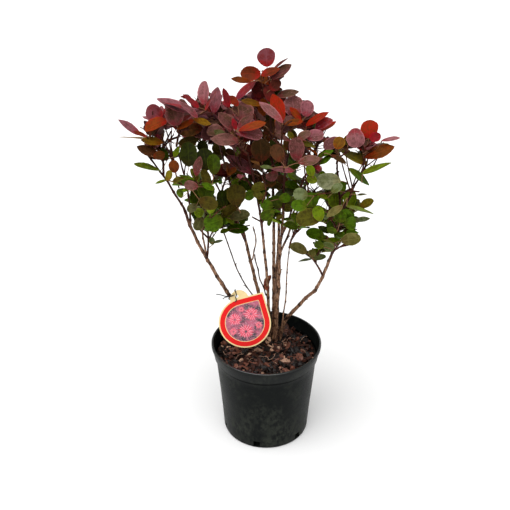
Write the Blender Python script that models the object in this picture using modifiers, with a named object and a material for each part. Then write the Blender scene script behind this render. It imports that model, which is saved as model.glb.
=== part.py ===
# A young smoke bush with several stems, growing in a black nursery pot.
# Metres, +Z up. The origin is the middle of the pot's flat underside, and the front is -Y.
import math
import random

import bmesh
import bpy
from mathutils import Matrix, Vector
from mathutils.bvhtree import BVHTree
import numpy as np

GAP = 0.0003                    # clearance between neighbouring pieces
UP = Vector((0, 0, 1))
GOLDEN_TURN = math.radians(137.5)

# Pot: a 5 litre nursery container, 225 mm across its rim
POT_HEIGHT = 0.210
RIM_RADIUS = 0.1125
LIP_HEIGHT = 0.0055
LIP_OVERHANG = 0.0020
BAND_HEIGHT = 0.0285
BAND_BOTTOM_RADIUS = 0.1072
BODY_TOP_RADIUS = 0.1038
BODY_BOTTOM_RADIUS = 0.0890
FOOT_CORNER = 0.0045
WALL = 0.0018
POT_SIDES = 32
DRAIN_COUNT = 6
DRAIN_SIZE = (0.014, 0.024, 0.015)
DRAIN_FIRST = math.radians(-12)  # from the front, towards the left
DRAIN_SILL = 0.0030

# Potting bark, flat where the stems come out of it
GROUND = 0.188
SOIL_EDGE = 0.1835
SOIL_FLAT_RADIUS = 0.078
SOIL_CLEARANCE = 0.0005

# Stems and boughs
FLARE = 1.35                    # a stem's foot against its own radius just above
FOOT_RISE = 0.005               # upright stretch that gives the flat cut at the ground
STEM_STEPS = 6
BOUGH_STEPS = 4
STEM_SIDES = 8
BOUGH_SIDES = 6
CROOK = 0.0016                  # sideways wander of a limb between its buds

# Leaves: round to oval blades on thin stalks
BLADE_LENGTH = 0.053
BLADE_WIDTH = 0.045
STALK_LENGTH = 0.024
STALK_WIDTH = 0.0012
STALK_DEPTH = 0.0008
BLADE_THICKNESS = 0.0008
BLADE_SECTIONS = ((0.28, 0.92, 0.030), (0.72, 0.92, 0.015))  # along, share of width, arch
TIP_DROOP = 0.05
LEAF_LEANS = (72, 28)           # degrees off the twig, at its base and at its tip
LEAF_LEVEL = 0.45               # how far a blade turns level from the way of its stalk

# Each mass: a leader from its limb, side twigs on it, and leaves on both
LEADER_RADII = (0.0021, 0.0016)
LEADER_STEPS = 3
LEADER_BOW = 0.0030
LEADER_CROOK = 0.0008
LEADER_SHARE = 0.62             # of the leaves, the rest sit on the side twigs
FIRST_LEAF = 0.30               # share of the way up a leader or twig
TWIG_RADII = (0.0017, 0.0015)
TWIG_PLACES = (0.30, 0.75)
TWIG_SPREAD = (0.8, 1.3)
TWIG_LENGTHS = (0.36, 0.58)     # of the leader's length
TWIG_SHORTEST = 0.024
CROWN_LEAF_REACH = 0.030        # the leader ends this far short of its topmost leaves
MASS_MIDDLE = 0.85              # place on the leader that its space lies round
LEAF_CLEARANCE = 0.0010
CELL_MARGIN = 0.0004
TRIES = 24

# name: foot, tip, how far the middle bows out, radii at both ends
STEMS = {
    "stem_left": ((-0.004, 0.032), (-0.155, -0.015, 0.520), (-0.0155, -0.004, 0.0), (0.0046, 0.0028)),
    "stem_left_back": ((0.003, 0.053), (-0.088, 0.090, 0.585), (0.004, 0.0, 0.0), (0.0040, 0.0020)),
    "stem_centre_left": ((0.006, 0.037), (-0.035, -0.040, 0.640), (0.009, 0.014, 0.0), (0.0034, 0.0018)),
    "stem_centre": ((0.014, 0.048), (0.003, 0.022, 0.700), (0.005, 0.002, 0.0), (0.0040, 0.0018)),
    "stem_front": ((0.018, 0.034), (0.032, -0.045, 0.640), (0.001, 0.010, 0.0), (0.0042, 0.0018)),
    "stem_back": ((0.014, 0.064), (0.030, 0.150, 0.560), (0.0, -0.014, 0.0), (0.0040, 0.0019)),
    "stem_thin": ((0.029, 0.029), (0.043, 0.000, 0.430), (0.001, 0.0, 0.0), (0.0016, 0.0011)),
    "stem_right_foot": ((0.028, 0.050), (0.096, 0.0, 0.334), (-0.009, 0.004, 0.0), (0.0044, 0.0036)),
}
# The right stem goes on from its bend, as a limb of its own
STEM_RIGHT = ("stem_right_foot", (0.124, -0.020, 0.615), (0.022, 0.0, 0.0), (0.0036, 0.0018))

# name: parent, place along it, tip, how far the middle bows out, radii at both ends
BOUGHS = {
    "bough_left_outer": ("stem_left", 1.0, (-0.216, -0.020, 0.630), (0.002, 0.0, 0.0), (0.0024, 0.0016)),
    "bough_left_inner": ("stem_left", 0.90, (-0.164, -0.004, 0.640), (0.005, 0.0, 0.0), (0.0021, 0.0014)),
    "bough_left_front": ("stem_left", 0.70, (-0.118, -0.058, 0.560), (-0.003, 0.0, 0.0), (0.0020, 0.0014)),
    "bough_top_right": ("stem_centre", 0.62, (0.040, 0.022, 0.650), (0.005, 0.003, 0.0), (0.0022, 0.0015)),
    "bough_centre_right": ("stem_front", 0.66, (0.064, -0.050, 0.600), (0.002, 0.0, 0.0), (0.0020, 0.0014)),
    "bough_right_shoulder": ("stem_front", 0.56, (0.088, 0.050, 0.600), (0.003, 0.0, 0.0), (0.0024, 0.0015)),
    "bough_right_far": ("stem_right", 0.62, (0.174, -0.012, 0.618), (0.004, 0.0, 0.0), (0.0022, 0.0015)),
    "bough_back_left": ("stem_left_back", 0.62, (-0.122, 0.132, 0.560), (-0.004, 0.0, 0.0), (0.0022, 0.0015)),
    "bough_back_right": ("stem_back", 0.60, (0.092, 0.140, 0.552), (0.004, 0.0, 0.0), (0.0022, 0.0015)),
}

DEAD_TWIGS = {
    "dead_twig_left": ("stem_left_back", 0.28, (-0.086, 0.046, 0.44), (-0.006, -0.004, -0.008), (0.001,) * 2),
    "dead_twig_middle": ("stem_centre_left", 0.34, (-0.024, 0.016, 0.405), (-0.003, -0.002, 0), (0.001,) * 2),
    "cut_spur": ("stem_left_back", 0.50, (-0.028, 0.062, 0.442), (0.005, -0.002, 0), (0.0015, 0.0013)),
}

# name: limb, place along it, middle of its topmost leaves, side twigs, leaves, leaf size, tone
MASSES = {
    "foliage_top": ("stem_centre", 1.0, (0.004, 0.022, 0.780), 2, 12, 0.85, "purple"),
    "foliage_top_left": ("stem_centre", 0.82, (-0.042, 0.050, 0.736), 3, 13, 1.0, "purple"),
    "foliage_top_right": ("bough_top_right", 1.0, (0.044, 0.010, 0.724), 3, 13, 1.0, "purple"),
    "foliage_right_shoulder": ("bough_right_shoulder", 1.0, (0.098, 0.055, 0.664), 3, 13, 1.0, "purple"),
    "foliage_crest_left": ("stem_left_back", 1.0, (-0.102, 0.042, 0.702), 3, 13, 1.0, "purple"),
    "foliage_left_shoulder": ("bough_left_inner", 1.0, (-0.142, -0.035, 0.718), 3, 13, 1.0, "purple"),
    "foliage_left_upper": ("bough_left_outer", 0.60, (-0.192, 0.030, 0.686), 3, 13, 1.0, "purple"),
    "foliage_left_tip": ("bough_left_outer", 1.0, (-0.228, -0.022, 0.676), 1, 8, 0.78, "purple"),
    "foliage_centre_front": ("stem_centre_left", 1.0, (-0.064, -0.088, 0.704), 3, 13, 1.1, "purple"),
    "foliage_centre_inner": ("stem_centre_left", 0.82, (-0.082, -0.014, 0.646), 2, 12, 1.1, "purple"),
    "foliage_front": ("stem_front", 1.0, (0.006, -0.105, 0.708), 3, 13, 1.1, "purple"),
    "foliage_centre_right": ("bough_centre_right", 1.0, (0.080, -0.078, 0.658), 3, 13, 1.05, "purple"),
    "foliage_heart": ("stem_centre", 0.62, (-0.016, -0.016, 0.640), 2, 12, 1.1, "bronze"),
    "foliage_far_top": ("bough_right_far", 1.0, (0.182, -0.005, 0.660), 1, 8, 0.88, "purple"),
    "foliage_far_side": ("bough_right_far", 0.62, (0.196, 0.035, 0.624), 1, 7, 0.80, "bronze"),
    "foliage_right_inner": ("stem_right", 1.0, (0.130, 0.020, 0.654), 2, 10, 0.85, "bronze"),
    "foliage_right_mid": ("bough_right_shoulder", 0.55, (0.062, -0.012, 0.600), 2, 11, 0.95, "green"),
    "foliage_right_olive": ("stem_right", 0.74, (0.160, -0.074, 0.602), 2, 11, 0.85, "bronze"),
    "foliage_right_green": ("stem_right", 0.50, (0.098, -0.090, 0.566), 2, 12, 0.95, "green"),
    "foliage_right_low": ("stem_right", 0.36, (0.160, 0.016, 0.508), 2, 12, 0.90, "green"),
    "foliage_right_front_low": ("stem_right", 0.28, (0.144, -0.056, 0.492), 2, 11, 0.80, "green"),
    "foliage_right_sprig": ("stem_right", 0.12, (0.074, -0.028, 0.444), 0, 6, 0.62, "green"),
    "foliage_centre_green": ("stem_centre_left", 0.64, (-0.002, -0.058, 0.574), 2, 11, 0.85, "green"),
    "foliage_centre_low": ("stem_thin", 1.0, (0.064, -0.016, 0.510), 2, 9, 0.75, "green"),
    "foliage_left_green": ("bough_left_front", 1.0, (-0.116, -0.084, 0.630), 3, 13, 0.95, "green"),
    "foliage_left_low": ("bough_left_front", 0.45, (-0.088, -0.052, 0.546), 2, 11, 0.90, "green"),
    "foliage_left_bottom": ("stem_left_back", 0.60, (-0.064, 0.012, 0.520), 2, 11, 0.82, "green"),
    "foliage_left_side": ("stem_left", 0.70, (-0.118, 0.042, 0.510), 2, 11, 0.75, "green"),
    "foliage_back_left": ("bough_back_left", 1.0, (-0.150, 0.140, 0.640), 3, 13, 1.1, "purple"),
    "foliage_back": ("stem_back", 1.0, (-0.022, 0.135, 0.668), 3, 13, 1.15, "purple"),
    "foliage_back_right": ("bough_back_right", 1.0, (0.105, 0.148, 0.632), 3, 13, 1.1, "purple"),
    "foliage_back_low_left": ("bough_back_left", 0.50, (-0.070, 0.165, 0.535), 2, 12, 0.95, "green"),
    "foliage_back_low_right": ("stem_back", 0.70, (0.030, 0.210, 0.520), 2, 12, 0.95, "green"),
    "foliage_back_side": ("bough_back_right", 0.50, (0.130, 0.085, 0.520), 2, 12, 0.95, "green"),
}

# Plant label, hung from the left stem by a wire
LABEL_CENTRE = (-0.043, -0.022, 0.2695)
LABEL_TURN = math.radians(16)    # in its own plane, its right side up
LABEL_LEAN = math.radians(16)    # its top away from the front
LABEL_RADIUS = 0.052
LABEL_THICKNESS = 0.0010
TAB_CENTRE = (0.003, 0.0505)
TAB_RADIUS = 0.0185
HOLE_CENTRE = (0.0, 0.0575)
HOLE_RADIUS = 0.0030
ARC_STEPS = 20
WIRE_RADIUS = 0.0006
TIE_PLACE = 0.44                 # share of the way up the left stem
TIE_TURN = (70, 380)             # degrees round the stem, from the side that faces the tab
TIE_STEPS = 9
TIE_PITCH = 0.0026

COLOURS = {
    "pot_plastic": ((0.022, 0.024, 0.024), 0.55),
    "potting_bark": ((0.050, 0.026, 0.016), 0.95),
    "stem_bark": ((0.150, 0.085, 0.052), 0.85),
    "purple": ((0.150, 0.040, 0.052), 0.55),
    "bronze": ((0.180, 0.075, 0.030), 0.55),
    "green": ((0.075, 0.120, 0.030), 0.60),
    "label_card": ((0.720, 0.050, 0.045), 0.40),
    "tie_wire": ((0.020, 0.020, 0.020), 0.50),
}


def clear_scene():
    for obj in list(bpy.data.objects):
        bpy.data.objects.remove(obj, do_unlink=True)


def new_collection(name, rendered=True):
    collection = bpy.data.collections.new(name)
    collection.hide_render = not rendered
    bpy.context.scene.collection.children.link(collection)
    return collection


def material(name):
    found = bpy.data.materials.get(name)
    if found:
        return found
    colour, roughness = COLOURS[name]
    made = bpy.data.materials.new(name)
    made.use_nodes = True
    shader = made.node_tree.nodes["Principled BSDF"]
    shader.inputs["Base Color"].default_value = (*colour, 1)
    shader.inputs["Roughness"].default_value = roughness
    shader.inputs["Metallic"].default_value = 0
    return made


def add_object(name, data, collection, finish):
    obj = bpy.data.objects.new(name, data)
    collection.objects.link(obj)
    obj.data.materials.append(material(finish))
    return obj


# Turned pieces

def turned(name, profile, collection, finish):
    """A profile of (radius, height) points turned about Z."""
    mesh = bpy.data.meshes.new(name)
    points = [(radius, 0, height) for radius, height in profile]
    mesh.from_pydata(points, [(i, i + 1) for i in range(len(points) - 1)], [])
    obj = add_object(name, mesh, collection, finish)
    screw = obj.modifiers.new("turn", "SCREW")
    screw.steps = screw.render_steps = POT_SIDES
    screw.use_merge_vertices = True
    screw.merge_threshold = 0.0001
    screw.use_smooth_shade = True
    return obj


def pot_inside():
    """The inner wall, from the floor's edge up to the lip."""
    band_bottom = POT_HEIGHT - BAND_HEIGHT
    return [
        (BODY_BOTTOM_RADIUS - FOOT_CORNER - WALL / 2, WALL),
        (BODY_BOTTOM_RADIUS - WALL, FOOT_CORNER + WALL),
        (BODY_TOP_RADIUS - WALL, band_bottom - 0.003),
        (BAND_BOTTOM_RADIUS - WALL, band_bottom + 0.0005),
        (RIM_RADIUS - LIP_OVERHANG - WALL + 0.0004, POT_HEIGHT),
    ]


def make_pot(collection, cutters):
    band_bottom = POT_HEIGHT - BAND_HEIGHT
    outside = [
        (RIM_RADIUS - 0.0006, POT_HEIGHT),
        (RIM_RADIUS, POT_HEIGHT - 0.001),
        (RIM_RADIUS, POT_HEIGHT - LIP_HEIGHT),
        (RIM_RADIUS - LIP_OVERHANG, POT_HEIGHT - LIP_HEIGHT - 0.0006),
        (BAND_BOTTOM_RADIUS, band_bottom),
        (BODY_TOP_RADIUS, band_bottom - 0.0025),
        (BODY_BOTTOM_RADIUS, FOOT_CORNER),
        (BODY_BOTTOM_RADIUS - FOOT_CORNER, 0),
        (0, 0),
    ]
    pot = turned("pot", [(0, WALL)] + pot_inside() + outside, collection, "pot_plastic")
    for index in range(DRAIN_COUNT):
        turn = DRAIN_FIRST + index * math.tau / DRAIN_COUNT
        mesh = bpy.data.meshes.new("drain_cutter")
        shape = bmesh.new()
        bmesh.ops.create_cube(shape, size=1)
        bmesh.ops.scale(shape, vec=DRAIN_SIZE, verts=shape.verts)
        shape.to_mesh(mesh)
        shape.free()
        cutter = bpy.data.objects.new("drain_cutter_%d" % index, mesh)
        cutters.objects.link(cutter)
        cutter.location = (
            math.sin(turn) * BODY_BOTTOM_RADIUS,
            -math.cos(turn) * BODY_BOTTOM_RADIUS,
            DRAIN_SILL + DRAIN_SIZE[2] / 2,
        )
        cutter.rotation_euler = (0, 0, turn)
        cutter.hide_render = True
        cutter.display_type = "WIRE"
        cut = pot.modifiers.new("drain %d" % index, "BOOLEAN")
        cut.operation = "DIFFERENCE"
        cut.object = cutter
    return pot


def make_soil(collection):
    """The bark fills the pot, clear of its wall, from the floor to its slightly domed top."""
    floor_edge, corner, shoulder = pot_inside()[:3]
    floor = WALL + GAP
    profile = [(0, GROUND), (SOIL_FLAT_RADIUS, GROUND), (shoulder[0] - SOIL_CLEARANCE, SOIL_EDGE)]
    profile += [(radius - SOIL_CLEARANCE, height) for radius, height in (shoulder, corner)]
    profile += [(floor_edge[0] - SOIL_CLEARANCE, floor), (0, floor)]
    return turned("potting_bark", profile, collection, "potting_bark")


# Limbs

class Limb:
    """The centreline of a stem, bough or twig, with its radius at each point."""

    def __init__(self, name, points, radii):
        self.name = name
        self.points = points
        self.radii = radii

    def at(self, place):
        """(point, direction, radius) at a share of the length."""
        reach = place * (len(self.points) - 1)
        i = min(int(reach), len(self.points) - 2)
        share = reach - i
        a, b = self.points[i], self.points[i + 1]
        radius = self.radii[i] + (self.radii[i + 1] - self.radii[i]) * share
        return a.lerp(b, share), (b - a).normalized(), radius


def curved_line(start, end, bow, steps, rng, crook=CROOK):
    """Points on an arc from start to end, whose middle is moved by bow, with a small crook at each bud."""
    middle = (start + end) / 2 + 2 * Vector(bow)
    points = []
    for i in range(steps + 1):
        t = i / steps
        point = start * (1 - t) ** 2 + middle * 2 * t * (1 - t) + end * t ** 2
        if 1 < i < steps:
            point += Vector((rng.uniform(-crook, crook), rng.uniform(-crook, crook), 0))
        points.append(point)
    return points


def tapered(radii, count):
    return [radii[0] + (radii[1] - radii[0]) * i / (count - 1) for i in range(count)]


def branch_start(parent, place, end, bow, radius):
    """Where a branch leaves its parent, its butt 0.3 mm clear of the parent's bark."""
    point, along, thick = parent.at(place)
    way = (end + 4 * Vector(bow) - point).normalized()
    turn = way.angle(along)
    if place >= 1:
        return point + along * (GAP + radius * math.sin(turn))
    return point + way * (thick + GAP + radius * math.cos(turn)) / max(0.3, math.sin(turn))


def add_tube(name, limb, collection, finish, sides):
    curve = bpy.data.curves.new(name, "CURVE")
    curve.dimensions = "3D"
    curve.bevel_depth = 1
    curve.bevel_resolution = (sides - 4) // 2
    curve.use_fill_caps = True
    spline = curve.splines.new("POLY")
    spline.points.add(len(limb.points) - 1)
    for place, point, radius in zip(spline.points, limb.points, limb.radii):
        place.co = (*point, 1)
        place.radius = radius
    return add_object(name, curve, collection, finish)


def make_limbs(collection):
    limbs = {}
    rng = random.Random(7)
    for name, (foot, tip, bow, radii) in STEMS.items():
        ground = Vector((*foot, GROUND + GAP))
        rise = ground + UP * FOOT_RISE
        points = [ground] + curved_line(rise, Vector(tip), bow, STEM_STEPS, rng)
        sizes = [radii[0] * FLARE] * 2 + tapered(radii, STEM_STEPS)
        limbs[name] = Limb(name, points, sizes)
    foot_limb, tip, bow, radii = STEM_RIGHT
    start = branch_start(limbs[foot_limb], 1, Vector(tip), bow, radii[0])
    points = curved_line(start, Vector(tip), bow, STEM_STEPS, rng)
    limbs["stem_right"] = Limb("stem_right", points, tapered(radii, STEM_STEPS + 1))
    for name, (parent, place, tip, bow, radii) in {**BOUGHS, **DEAD_TWIGS}.items():
        end = Vector(tip)
        start = branch_start(limbs[parent], place, end, bow, radii[0])
        points = curved_line(start, end, bow, BOUGH_STEPS, rng)
        limbs[name] = Limb(name, points, tapered(radii, BOUGH_STEPS + 1))
    for name, limb in limbs.items():
        sides = BOUGH_SIDES if name in BOUGHS or name in DEAD_TWIGS else STEM_SIDES
        add_tube(name, limb, collection, "stem_bark", sides)
    return limbs


# Foliage

def across(direction, turn):
    """A unit vector square to direction, turned about it."""
    upright = direction.xy.length < 0.3 * abs(direction.z)
    side = direction.cross(Vector((1, 0, 0)) if upright else UP).normalized()
    other = direction.cross(side).normalized()
    return side * math.cos(turn) + other * math.sin(turn)


def tube_shell(points, radii, sides, facing):
    """Corners and faces of a closed tube along the points, its first corner facing one way, without twist."""
    corners, faces = [], []
    for i, point in enumerate(points):
        along = (points[min(i + 1, len(points) - 1)] - points[max(i - 1, 0)]).normalized()
        facing = (facing - along * facing.dot(along)).normalized()
        second = along.cross(facing)
        for k in range(sides):
            turn = k * math.tau / sides
            corners.append(point + (facing * math.cos(turn) + second * math.sin(turn)) * radii[i])
    for i in range(sides, len(corners), sides):
        for k in range(sides):
            j = (k + 1) % sides
            faces.append((i - sides + k, i - sides + j, i + j, i + k))
    faces.append(tuple(reversed(range(sides))))
    faces.append(tuple(range(len(corners) - sides, len(corners))))
    return corners, faces


def tube_tree(points, radii):
    """A search tree of a six-sided tube along the points."""
    return BVHTree.FromPolygons(*tube_shell(points, radii, 6, across(points[1] - points[0], 0)))


class Obstacles:
    """The wood so far, each line grown by a margin, to keep leaves and twigs off it."""

    def __init__(self):
        self.trees = []

    def add(self, limb, owner):
        self.trees.append((owner, tube_tree(limb.points, [r + LEAF_CLEARANCE for r in limb.radii])))

    def clear(self, tree, *owners):
        """True if the tree's surface meets nobody's wood but its owners'."""
        return not any(name not in owners and wood.overlap(tree) for name, wood in self.trees)


def inside_cell(points, own, seeds):
    """True if every point is nearer to its own mass's middle than to any other, by the margin."""
    here = np.array(seeds[own][:])
    others = np.array([seed[:] for name, seed in seeds.items() if name != own])
    p = np.array([point[:] for point in points])
    between = others - here
    length = np.linalg.norm(between, axis=1)
    past_middle = (p[:, None, :] - (here + others) / 2) * between
    return bool((past_middle.sum(2) / length < -CELL_MARGIN).all())


def leaf_rings(root, stalk_way, blade_way, normal, stalk, length, width):
    """Three-cornered sections of a leaf from its stalk's root to near the tip, and the tip."""
    side = blade_way.cross(normal).normalized()
    base = root + stalk_way * stalk
    sections = [(root, STALK_WIDTH, STALK_DEPTH), (base, STALK_WIDTH, STALK_DEPTH)]
    for along, share, arch in BLADE_SECTIONS:
        middle = base + blade_way * (length * along) + normal * (length * arch)
        sections.append((middle, width * share, BLADE_THICKNESS))
    rings = []
    for middle, wide, deep in sections:
        upper = middle + normal * (deep / 3)
        rings.append([upper - side * wide / 2, upper + side * wide / 2, upper - normal * deep])
    tip = base + blade_way * length - normal * (length * TIP_DROOP)
    return rings, tip


def leaf_mesh(rings, tip):
    shape = bmesh.new()
    loops = [[shape.verts.new(point) for point in ring] for ring in rings]
    shape.faces.new(loops[0])
    for lower, upper in zip(loops, loops[1:]):
        for i in range(3):
            j = (i + 1) % 3
            shape.faces.new((lower[i], lower[j], upper[j], upper[i]))
    end = shape.verts.new(tip)
    for i in range(3):
        shape.faces.new((loops[-1][i], loops[-1][(i + 1) % 3], end))
    bmesh.ops.connect_verts_nonplanar(shape, angle_limit=0.001, faces=shape.faces)
    bmesh.ops.recalc_face_normals(shape, faces=shape.faces)
    mesh = bpy.data.meshes.new("leaf")
    shape.to_mesh(mesh)
    shape.free()
    return mesh


def mesh_tree(mesh):
    return BVHTree.FromPolygons([v.co.copy() for v in mesh.vertices], [p.vertices[:] for p in mesh.polygons])


def leaf_pose(twig_way, turn, lean, rng):
    """Directions of a leaf's stalk, blade and upper face, for a leaf that leans out from its twig."""
    outward = across(twig_way, turn)
    stalk_way = (twig_way * math.cos(lean) + outward * math.sin(lean)).normalized()
    level = Vector((outward.x, outward.y, 0))
    blade_way = (stalk_way + level * LEAF_LEVEL + UP * rng.uniform(-0.25, 0.25)).normalized()
    face = UP + level * rng.uniform(-0.2, 0.9) - twig_way * 0.15
    face += Vector((rng.uniform(-0.45, 0.45), rng.uniform(-0.45, 0.45), 0))
    normal = (face - blade_way * face.dot(blade_way)).normalized()
    return stalk_way, blade_way, normal


def leader_of(name, limbs, obstacles, rng):
    """The mass's stem, from its limb to just short of its topmost leaves."""
    parent, place, crown = MASSES[name][:3]
    reach = Vector(crown) - limbs[parent].at(place)[0]
    end = Vector(crown) - reach.normalized() * CROWN_LEAF_REACH
    for attempt in range(TRIES):
        bow = across(reach.normalized(), rng.uniform(0, math.tau)) * LEADER_BOW * (1 + attempt)
        start = branch_start(limbs[parent], place, end, bow, LEADER_RADII[0])
        points = curved_line(start, end, bow, LEADER_STEPS, rng, LEADER_CROOK)
        leader = Limb(name, points, tapered(LEADER_RADII, LEADER_STEPS + 1))
        butt = tube_tree(points[:2], leader.radii[:2])
        rest = tube_tree(points[1:], leader.radii[1:])
        if obstacles.clear(butt, name, parent) and obstacles.clear(rest, name):
            return leader
    raise RuntimeError(name + " finds no way past the other limbs")


def side_twigs_of(name, leader, count, obstacles, seeds, rng):
    twigs = []
    length = (leader.points[-1] - leader.points[0]).length
    for index in range(count):
        for _ in range(TRIES):
            root, along, _ = leader.at(rng.uniform(*TWIG_PLACES))
            turn = index * GOLDEN_TURN + rng.uniform(-0.9, 0.9)
            way = (along + across(along, turn) * rng.uniform(*TWIG_SPREAD)).normalized()
            reach = max(TWIG_SHORTEST, length * rng.uniform(*TWIG_LENGTHS))
            end = root + way * reach + UP * reach * 0.15
            twig = Limb(name, [root, end], TWIG_RADII)
            free = obstacles.clear(tube_tree(twig.points, TWIG_RADII), name)
            if free and inside_cell([root.lerp(end, 0.5), end], name, seeds):
                twigs.append(twig)
                break
    return twigs


def leaf_sites(leader, twigs, count):
    """(wood, place along it, share of the way to its tip) for each leaf, closer together near the tips."""
    on_leader = round(count * LEADER_SHARE) if twigs else count
    sites = []
    for i in range(on_leader):
        step = i / (on_leader - 1)
        sites.append((leader, FIRST_LEAF + (1 - FIRST_LEAF) * step ** 0.6, step))
    rest = count - on_leader
    for i in range(rest):
        twig = twigs[i % len(twigs)]
        step = (i // len(twigs) + 1) / math.ceil(rest / len(twigs))
        sites.append((twig, FIRST_LEAF + (1 - FIRST_LEAF) * step, step))
    return sites


def leaves_of(name, leader, twigs, obstacles, seeds, rng):
    count, size = MASSES[name][4:6]
    leaves, trees = [], []
    turn = rng.uniform(0, math.tau)
    for wood, place, step in leaf_sites(leader, twigs, count):
        turn += GOLDEN_TURN
        for attempt in range(TRIES):
            root, along, _ = wood.at(min(0.995, place + rng.uniform(-0.03, 0.03)))
            lean = math.radians(LEAF_LEANS[0] + (LEAF_LEANS[1] - LEAF_LEANS[0]) * step + rng.uniform(-10, 10))
            poses = leaf_pose(along, turn + attempt * 0.5, lean, rng)
            scale = size * rng.uniform(0.82, 1.12) * (1 - 0.02 * attempt)
            stalk = STALK_LENGTH * scale * rng.uniform(0.75, 1.15)
            length = BLADE_LENGTH * scale
            width = BLADE_WIDTH * scale * rng.uniform(0.86, 1.06)
            rings, tip = leaf_rings(root, *poses, stalk, length, width)
            outer = [point for ring in rings[1:] for point in ring] + [tip]
            if not inside_cell(outer, name, seeds):
                continue
            mesh = leaf_mesh(rings, tip)
            tree = mesh_tree(mesh)
            if not obstacles.clear(tree, name) or any(tree.overlap(other) for other in trees):
                bpy.data.meshes.remove(mesh)
                continue
            leaves.append(mesh)
            trees.append(tree)
            break
    return leaves


def three_sided(name, limb, facing, collection, finish):
    corners, faces = tube_shell(limb.points, limb.radii, 3, facing)
    mesh = bpy.data.meshes.new(name)
    mesh.from_pydata(corners, [], faces)
    return add_object(name, mesh, collection, finish)


def join_mass(name, leader, twigs, leaves, parent, collection, cutters):
    """One solid of a mass: its stem with the side twigs and leaves fused on."""
    place, finish = MASSES[name][1], MASSES[name][6]
    parent_way = parent.at(place)[1]
    base = three_sided(name, leader, parent_way if place < 1 else -parent_way, collection, finish)
    sprays = bpy.data.collections.new(name + "_sprays")
    cutters.children.link(sprays)
    for twig in twigs:
        three_sided("twig", twig, across(twig.points[1] - twig.points[0], 0), sprays, finish)
    for mesh in leaves:
        add_object("leaf", mesh, sprays, finish)
    fuse = base.modifiers.new("fuse", "BOOLEAN")
    fuse.operation = "UNION"
    fuse.operand_type = "COLLECTION"
    fuse.collection = sprays
    graph = bpy.context.evaluated_depsgraph_get()
    fused = bpy.data.meshes.new_from_object(base.evaluated_get(graph))
    base.modifiers.clear()
    base.data = fused
    for obj in list(sprays.objects):
        bpy.data.objects.remove(obj, do_unlink=True)
    bpy.data.collections.remove(sprays)
    return base


def make_foliage(limbs, collection, cutters):
    obstacles = Obstacles()
    for limb in limbs.values():
        obstacles.add(limb, limb.name)
    leaders, seeds, rngs = {}, {}, {}
    for index, name in enumerate(MASSES):
        rngs[name] = random.Random(101 + index)
        leaders[name] = leader_of(name, limbs, obstacles, rngs[name])
        seeds[name] = leaders[name].at(MASS_MIDDLE)[0]
        obstacles.add(leaders[name], name)
    twigs = {}
    for name, leader in leaders.items():
        twigs[name] = side_twigs_of(name, leader, MASSES[name][3], obstacles, seeds, rngs[name])
        for twig in twigs[name]:
            obstacles.add(twig, name)
    for name, leader in leaders.items():
        leaves = leaves_of(name, leader, twigs[name], obstacles, seeds, rngs[name])
        print("%s: %d side twigs, %d leaves" % (name, len(twigs[name]), len(leaves)))
        join_mass(name, leader, twigs[name], leaves, limbs[MASSES[name][0]], collection, cutters)


# Plant label

def arc(centre, radius, first, last, steps):
    """Points on an arc from one angle to the other, in degrees."""
    turns = [math.radians(first + (last - first) * i / steps) for i in range(steps + 1)]
    return [(centre[0] + radius * math.cos(t), centre[1] + radius * math.sin(t)) for t in turns]


def label_outline():
    """A drop, round but for a square corner at its upper right, with a domed tab on its top edge."""
    tab_left = TAB_CENTRE[0] - TAB_RADIUS
    meets_tab = math.degrees(math.acos(tab_left / LABEL_RADIUS))
    body = arc((0, 0), LABEL_RADIUS, meets_tab, 360, ARC_STEPS)
    corner = [(LABEL_RADIUS, LABEL_RADIUS), (TAB_CENTRE[0] + TAB_RADIUS, LABEL_RADIUS)]
    dome = arc(TAB_CENTRE, TAB_RADIUS, 8, 172, ARC_STEPS // 2)
    return body + corner + dome


def label_place():
    """The card's matrix: its face to the front, leaning back and turned in its own plane."""
    upright = Matrix.Rotation(math.radians(90) - LABEL_LEAN, 4, "X")
    return Matrix.Translation(LABEL_CENTRE) @ upright @ Matrix.Rotation(LABEL_TURN, 4, "Z")


def make_label(collection):
    curve = bpy.data.curves.new("label", "CURVE")
    curve.dimensions = "2D"
    curve.fill_mode = "BOTH"
    curve.extrude = LABEL_THICKNESS / 2
    for outline in (label_outline(), arc(HOLE_CENTRE, HOLE_RADIUS, 360, 30, 11)):
        spline = curve.splines.new("POLY")
        spline.points.add(len(outline) - 1)
        spline.use_cyclic_u = True
        for place, (x, y) in zip(spline.points, outline):
            place.co = (x, y, 0, 1)
    card = add_object("label", curve, collection, "label_card")
    card.matrix_world = label_place()
    return card


def make_tie(stem, collection):
    """A wire once round the stem, over to the tab and through its hole."""
    centre, along, thick = stem.at(TIE_PLACE)
    place = label_place()
    skin = LABEL_THICKNESS / 2 + WIRE_RADIUS + GAP
    x, y = HOLE_CENTRE
    edge = TAB_CENTRE[1] + TAB_RADIUS + WIRE_RADIUS + GAP
    over_tab = [(x, edge + 0.001, 0), (x, edge - 0.002, skin), (x, y + 0.0005, skin), (x, y, 0)]
    over_tab.append((x, y - 0.0005, -skin))
    to_hole = [place @ Vector(point) for point in over_tab]
    towards = to_hole[0] - centre
    side = (towards - along * towards.dot(along)).normalized()
    front = along.cross(side)
    reach = thick + WIRE_RADIUS + GAP
    ring = []
    for i in range(TIE_STEPS + 1):
        turn = math.radians(TIE_TURN[0] + (TIE_TURN[1] - TIE_TURN[0]) * i / TIE_STEPS)
        climb = along * (TIE_PITCH * i / TIE_STEPS)
        ring.append(centre + (side * math.cos(turn) + front * math.sin(turn)) * reach + climb)
    points = ring + to_hole
    wire = Limb("label_tie", points, [WIRE_RADIUS] * len(points))
    return add_tube("label_tie", wire, collection, "tie_wire", BOUGH_SIDES)


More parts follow.
